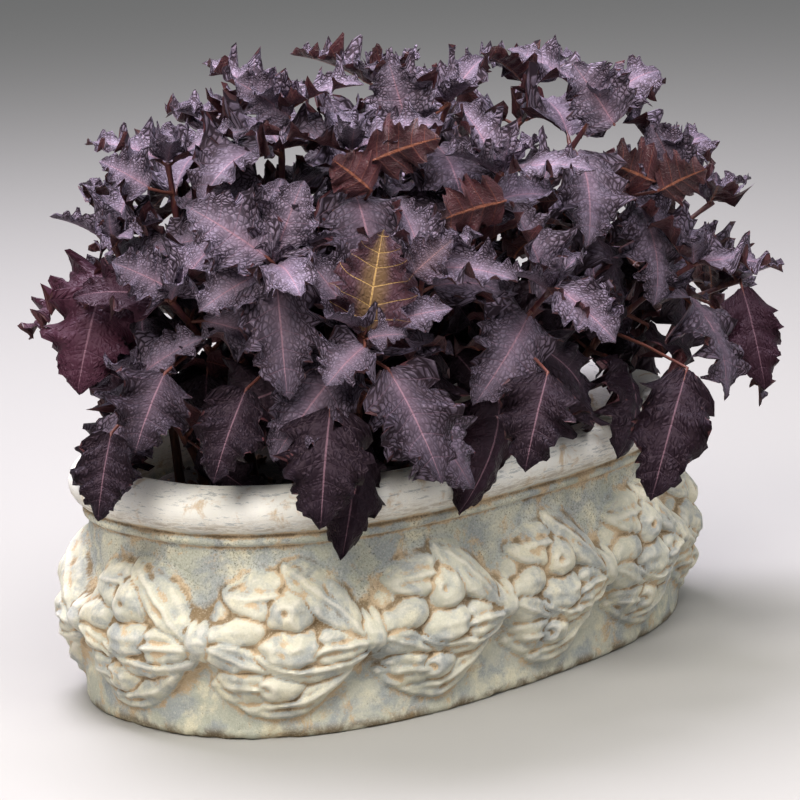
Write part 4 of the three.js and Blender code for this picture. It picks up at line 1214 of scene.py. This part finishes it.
print("Unfolding leaves and side shoots:", 4 * len(plants), "each")

# %% [markdown]
# ## Landmark leaves
#
# A rule gives a full bush, but not the leaves by which one knows this plant: the gold one in the middle,
# the pale rosettes, those that hang over the rim, those that turn their maroon underside to the front.
# They could be moved by hand in the viewport. Here each is a row: where its stalk leaves the stem,
# where its blade starts and ends, how wide it is, how far it bends and how far it faces the front.

# %% Landmark leaves
FRONT = np.array([-0.73, -0.68, 0.0])  # the side from which the planter is mostly seen
LANDMARKS = [  # stem, share of it, foot, point, width, bend, how far it faces the front, hue and paleness, which partly paints the light on the upper leaves
    ("stem_front_b", 1.0, (-162, -136, 252), (-149, -141, 313), 57, 25, 3, 2.0),  # gold leaf over a rosette
    ("stem_front_b", 1.0, (-166, -139, 245), (-198, -136, 225), 44, 35, 1, 1.0),
    ("stem_front_b", 1.0, (-164, -139, 249), (-153, -162, 252), 26, 30, 1, 1.0),
    ("stem_front_b", 0.87, (-161, -152, 232), (-161, -193, 167), 50, 50, 1, 0.45),
    ("stem_front_b", 0.75, (-186, -128, 211), (-211, -140, 142), 59, 40, 1, 0.0),  # hangs over the rim
    ("stem_front_a", 1.0, (-192, -87, 297), (-225, -53, 330), 59, 25, 1.6, 1.0),  # the large pale rosette
    ("stem_front_a", 1.0, (-186, -87, 298), (-172, -99, 342), 45, 20, 2.5, 0.95),
    ("stem_front_a", 0.97, (-191, -92, 289), (-211, -117, 217), 53, 30, 1, 0.5),
    ("stem_front_a", 1.0, (-194, -87, 290), (-231, -65, 268), 45, 35, 1.4, 0.9),
    ("stem_front_a", 0.6, (-209, -81, 220), (-242, -83, 168), 42, 35, 1, 0.1),
    ("stem_front_e", 0.7, (-71, -200, 220), (-102, -206, 165), 50, 35, 1, 0.05),
    ("stem_front_f", 0.6, (-46, -89, 227), (-42, -128, 192), 50, 35, 1, 0.0),
    ("stem_right_c", 0.6, (54, -210, 203), (9, -214, 125), 54, 26, 1, -0.1),  # the broad one over the rim
    ("stem_front_e", 1.0, (-46, -190, 266), (-40, -229, 236), 40, 30, 1.2, 1.0),
    ("stem_top_c", 1.0, (-55, -78, 358), (-64, -71, 402), 50, 18, 3, 1.0),  # pale leaves along the top
    ("stem_right_a", 1.0, (59, -151, 353), (40, -133, 394), 55, 20, 2.5, 1.0),
    ("stem_right_b", 1.0, (109, -166, 308), (98, -149, 351), 45, 20, 2.5, 0.9),
    ("stem_right_e", 1.0, (236, -119, 221), (223, -148, 152), 48, 35, 1, -0.5),
    ("stem_left_b", 0.87, (-230, 19, 277), (-261, 12, 215), 64, 35, 1, -1.0),  # wine red leaf at the left end
    ("stem_front_c", 1.0, (-227, -39, 279), (-253, -17, 297), 42, 25, 1.6, 0.8),
    ("stem_front_c", 0.75, (-240, -44, 231), (-270, -47, 188), 50, 35, 1, 0.3),
    ("stem_left_c", 0.87, (-261, -17, 195), (-282, -24, 145), 37, 35, 1, 0.1),
    ("stem_top_b", 1.0, (-128, -47, 372), (-155, -26, 397), 42, 25, 1.4, 0.9),
    ("stem_left_a", 0.9, (-197, 8, 333), (-218, 29, 351), 37, 25, 1.2, 0.9),
    ("stem_front_d", 1.0, (-126, -142, 282), (-111, -162, 303), 32, 25, 2, 1.4),
    ("stem_top_a", 0.9, (-112, -96, 346), (-87, -133, 360), 40, 25, -3, 0.6),  # these show their underside
    ("stem_top_a", 0.8, (-113, -99, 329), (-133, -86, 349), 37, 25, -3, 0.6),
    ("stem_front_f", 0.87, (-48, -150, 318), (-86, -127, 308), 45, 30, -3, 0.6),
    ("stem_right_b", 0.9, (90, -158, 314), (60, -136, 330), 45, 25, -3, 0.6),
    ("stem_right_b", 0.85, (91, -161, 308), (106, -188, 322), 40, 25, -3, 0.6),
]
print("Landmark leaves:", len(LANDMARKS))


# %% From a row to a leaf
def landmark_leaf(stem, seed, share_up, foot, point, width, bend, facing, kind):
    """A leaf given by its foot and its point: it bends by an angle and turns its face to the front."""
    foot, point = np.array(foot, float), np.array(point, float)
    span = np.linalg.norm(point - foot)
    chord = (point - foot) / span
    upright = UP + facing * FRONT
    middle_face = unit(upright - chord * (upright @ chord))
    half_bend = math.radians(bend) / 2
    heading = chord * math.cos(half_bend) + middle_face * math.sin(half_bend)
    face = middle_face * math.cos(half_bend) - chord * math.sin(half_bend)
    return {
        "node": stem_point(stem, share_up), "start": foot, "heading": heading, "face": face,
        "across": np.cross(heading, face), "length": span * half_bend / math.sin(half_bend),
        "width": width, "size": 1.0, "lobes": 3, "bend": math.radians(bend), "cup": 0.12,
        "twist": 0.5 * (draw(seed + 0.9) - 0.5), "phase": 6 * draw(seed + 0.8), "seed": seed,
        "kind": kind, "curl": float(np.clip(0.5 * kind - 0.15, -0.35, 0.3)),
    }


def added_leaves(stem, stem_number):
    """A stem's side shoots and landmark leaves, each with its count of teeth and columns."""
    found = [(shoot_leaf(stem, stem_number, pair, side), 4, 10) for pair, side in product((2, 3), (0, 1))]
    for number, (name, *where) in enumerate(LANDMARKS):
        if name == stem[0]:
            found.append((landmark_leaf(stem, 5000 + 7 * number, *where), 6, 18))
    return found


print("The first stem gets", len(added_leaves(plants[0][0], 0)), "leaves more")

# %% [markdown]
# ## Stems and stalks
#
# A basil stem is square with soft corners and thickens at each node, where a pair of stalks leaves
# it. Curves with a bevel would give round tubes only, so the tube is worked out ring by ring. Each
# stalk is a thinner tube that runs on under the blade as its midrib starts.

# %% Tubes of a plant
STEM_FOOT, STEM_TAPER, NODE_SWELLING = 3.2, 1.6, 0.8  # radius at the soil, what it loses, what a node adds
STALK_RADII = np.array([1.7, 1.35, 1.25, 1.2, 1.1, 0.5])


def stem_radius(t):
    swelling = sum(math.exp(-(((t - pair[0]) / 0.02) ** 2)) for pair in PAIRS)
    return STEM_FOOT - STEM_TAPER * t + NODE_SWELLING * swelling


def add_stem(shape, stem):
    """Adds a stem, which goes on 30 mm into the soil."""
    steps = np.linspace(0, 1, 22)
    path = [stem_point(stem, 0) - 30 * UP] + [stem_point(stem, t) for t in steps]
    add_tube(shape, path, [STEM_FOOT] + [stem_radius(t) for t in steps], 12, 2, square=0.1)


def add_stalk(shape, leaf):
    """Adds the stalk of a full leaf: it sags a little and ends under the blade."""
    start, node, under = leaf["start"], leaf["node"], leaf["face"]
    sags = ((0, 0), (0.25, 0.3), (0.55, 0.5), (0.8, 0.7))  # share of the way out, and how far it sags there
    path = [node + (start - node) * way - under * sag for way, sag in sags]
    path += [start - under * 0.7, blade_point(leaf, 0.09, 0.0) - under * 0.9]
    add_tube(shape, path, STALK_RADII * leaf["size"], 8, 2, 1.0)


def add_thin_stalk(shape, leaf):
    """Adds the stalk of a side shoot's leaf or of a landmark leaf."""
    start, node, under = leaf["start"], leaf["node"], leaf["face"]
    path = [node, node + (start - node) * 0.5 - leaf["heading"] * 1.5, start - under * 0.6]
    add_tube(shape, path + [blade_point(leaf, 0.1, 0.0) - under * 0.8], [1.5, 1.1, 1.0, 0.4], 8, 2, 1.0)


print("Radius of a stem half way up:", round(stem_radius(0.5), 2), "mm")

# %% Build each plant
total = 0
for number, (stem, leaves) in enumerate(plants):
    shape = Shape()
    add_stem(shape, stem)
    for leaf in leaves:
        # a leaf's paleness by its pair: its age, with painted light at the top of the bush and painted shade
        # below
        paleness = PALENESS_AND_LIGHT_BY_PAIR[leaf["pair"]] + 0.3 * (draw(leaf["seed"] + 0.5) - 0.5)
        leaf["kind"] = KINDS.get((stem[0], leaf["pair"], leaf["side"]), paleness)
        leaf["curl"] = CURLS[leaf["pair"]] + 0.8 * (draw(leaf["seed"] + 0.7) - 0.5)
        add_leaf(shape, leaf, TEETH[leaf["pair"]], ACROSS[leaf["pair"]])
        add_stalk(shape, leaf)
    for ring_number, side in product((0, 1), (0, 1)):
        add_leaf(shape, crown_leaf(stem, number, ring_number, side), 5, 12, finishes=(0, 0))
    for leaf, teeth, columns in added_leaves(stem, number):
        add_leaf(shape, leaf, teeth, columns)
        add_thin_stalk(shape, leaf)
    total += make_piece("basil_" + stem[0], shape, finishes, [stem[0]], sharp=75)
print("Plants:", total, "triangles")

# %% [markdown]
# ## Floor and light
#
# A plain pale floor and four large soft lamps. One at the left models the relief. One high in front
# lights the leaves that face the view. A weak one at the right fills. A strong one above and behind gives
# the waxy leaves their cool sheen and lights the rim's top. A pale surround, brighter towards the
# zenith, keeps the shadows open. Small lamps would be simpler, but their shadows would be hard.

# %% Floor, lamps and surround
floor_mesh = bpy.data.meshes.new("floor")
floor_mesh.from_pydata([(-12, -12, 0), (12, -12, 0), (12, 12, 0), (-12, 12, 0)], [], [(0, 1, 2, 3)])
floor = bpy.data.objects.new("floor", floor_mesh)
bpy.context.scene.collection.objects.link(floor)
floor_material, tree = new_material("floor_pale")
paint = add_node(tree, "BsdfPrincipled", {"Base Color": colour("#97958f"), "Roughness": 0.9})
add_node(tree, "OutputMaterial", {0: paint})
floor_mesh.materials.append(floor_material)


def soft_lamp(name, bearing, elevation, distance, size, power, tint):
    """A square lamp that looks at the planter from a bearing and a height angle, both in degrees."""
    lamp = bpy.data.lights.new(name, "AREA")
    lamp.size, lamp.energy, lamp.color = size, power, colour(tint)[:3]
    away = Vector(direction(math.radians(bearing), math.radians(elevation)))
    holder = bpy.data.objects.new(name, lamp)
    holder.location = Vector((0, 0, 0.2)) + away * distance
    holder.rotation_euler = away.to_track_quat("Z", "Y").to_euler()
    bpy.context.scene.collection.objects.link(holder)


for where_and_how in (  # name, bearing, elevation, distance and size in metres, power in watts, tint
    ("lamp_left", 200, 40, 2.6, 0.9, 52, "#fffaf3"),
    ("lamp_front", 240, 58, 2.8, 1.2, 62, "#fbf8fa"),
    ("lamp_right", 285, 36, 3.0, 1.6, 18, "#f4f6fa"),
    ("lamp_above", 85, 68, 2.8, 1.6, 180, "#eeeafb"),
):
    soft_lamp(*where_and_how)

world = bpy.data.worlds.new("surround")
world.use_nodes = True
sky = world.node_tree
direction = add_node(sky, "TexCoord", output="Generated")
upward = add_node(sky, "SeparateXYZ", {0: direction}, output=2)
strength = add_node(sky, "MapRange", {0: upward, 1: -0.1, 2: 0.9, 3: 0.13, 4: 0.6}, **SMOOTH)
background = sky.nodes["Background"]
background.inputs["Color"].default_value = colour("#e4e8f0")
sky.links.new(strength, background.inputs["Strength"])
bpy.context.scene.world = world
print("Lamps:", [lamp.name for lamp in bpy.data.lights])
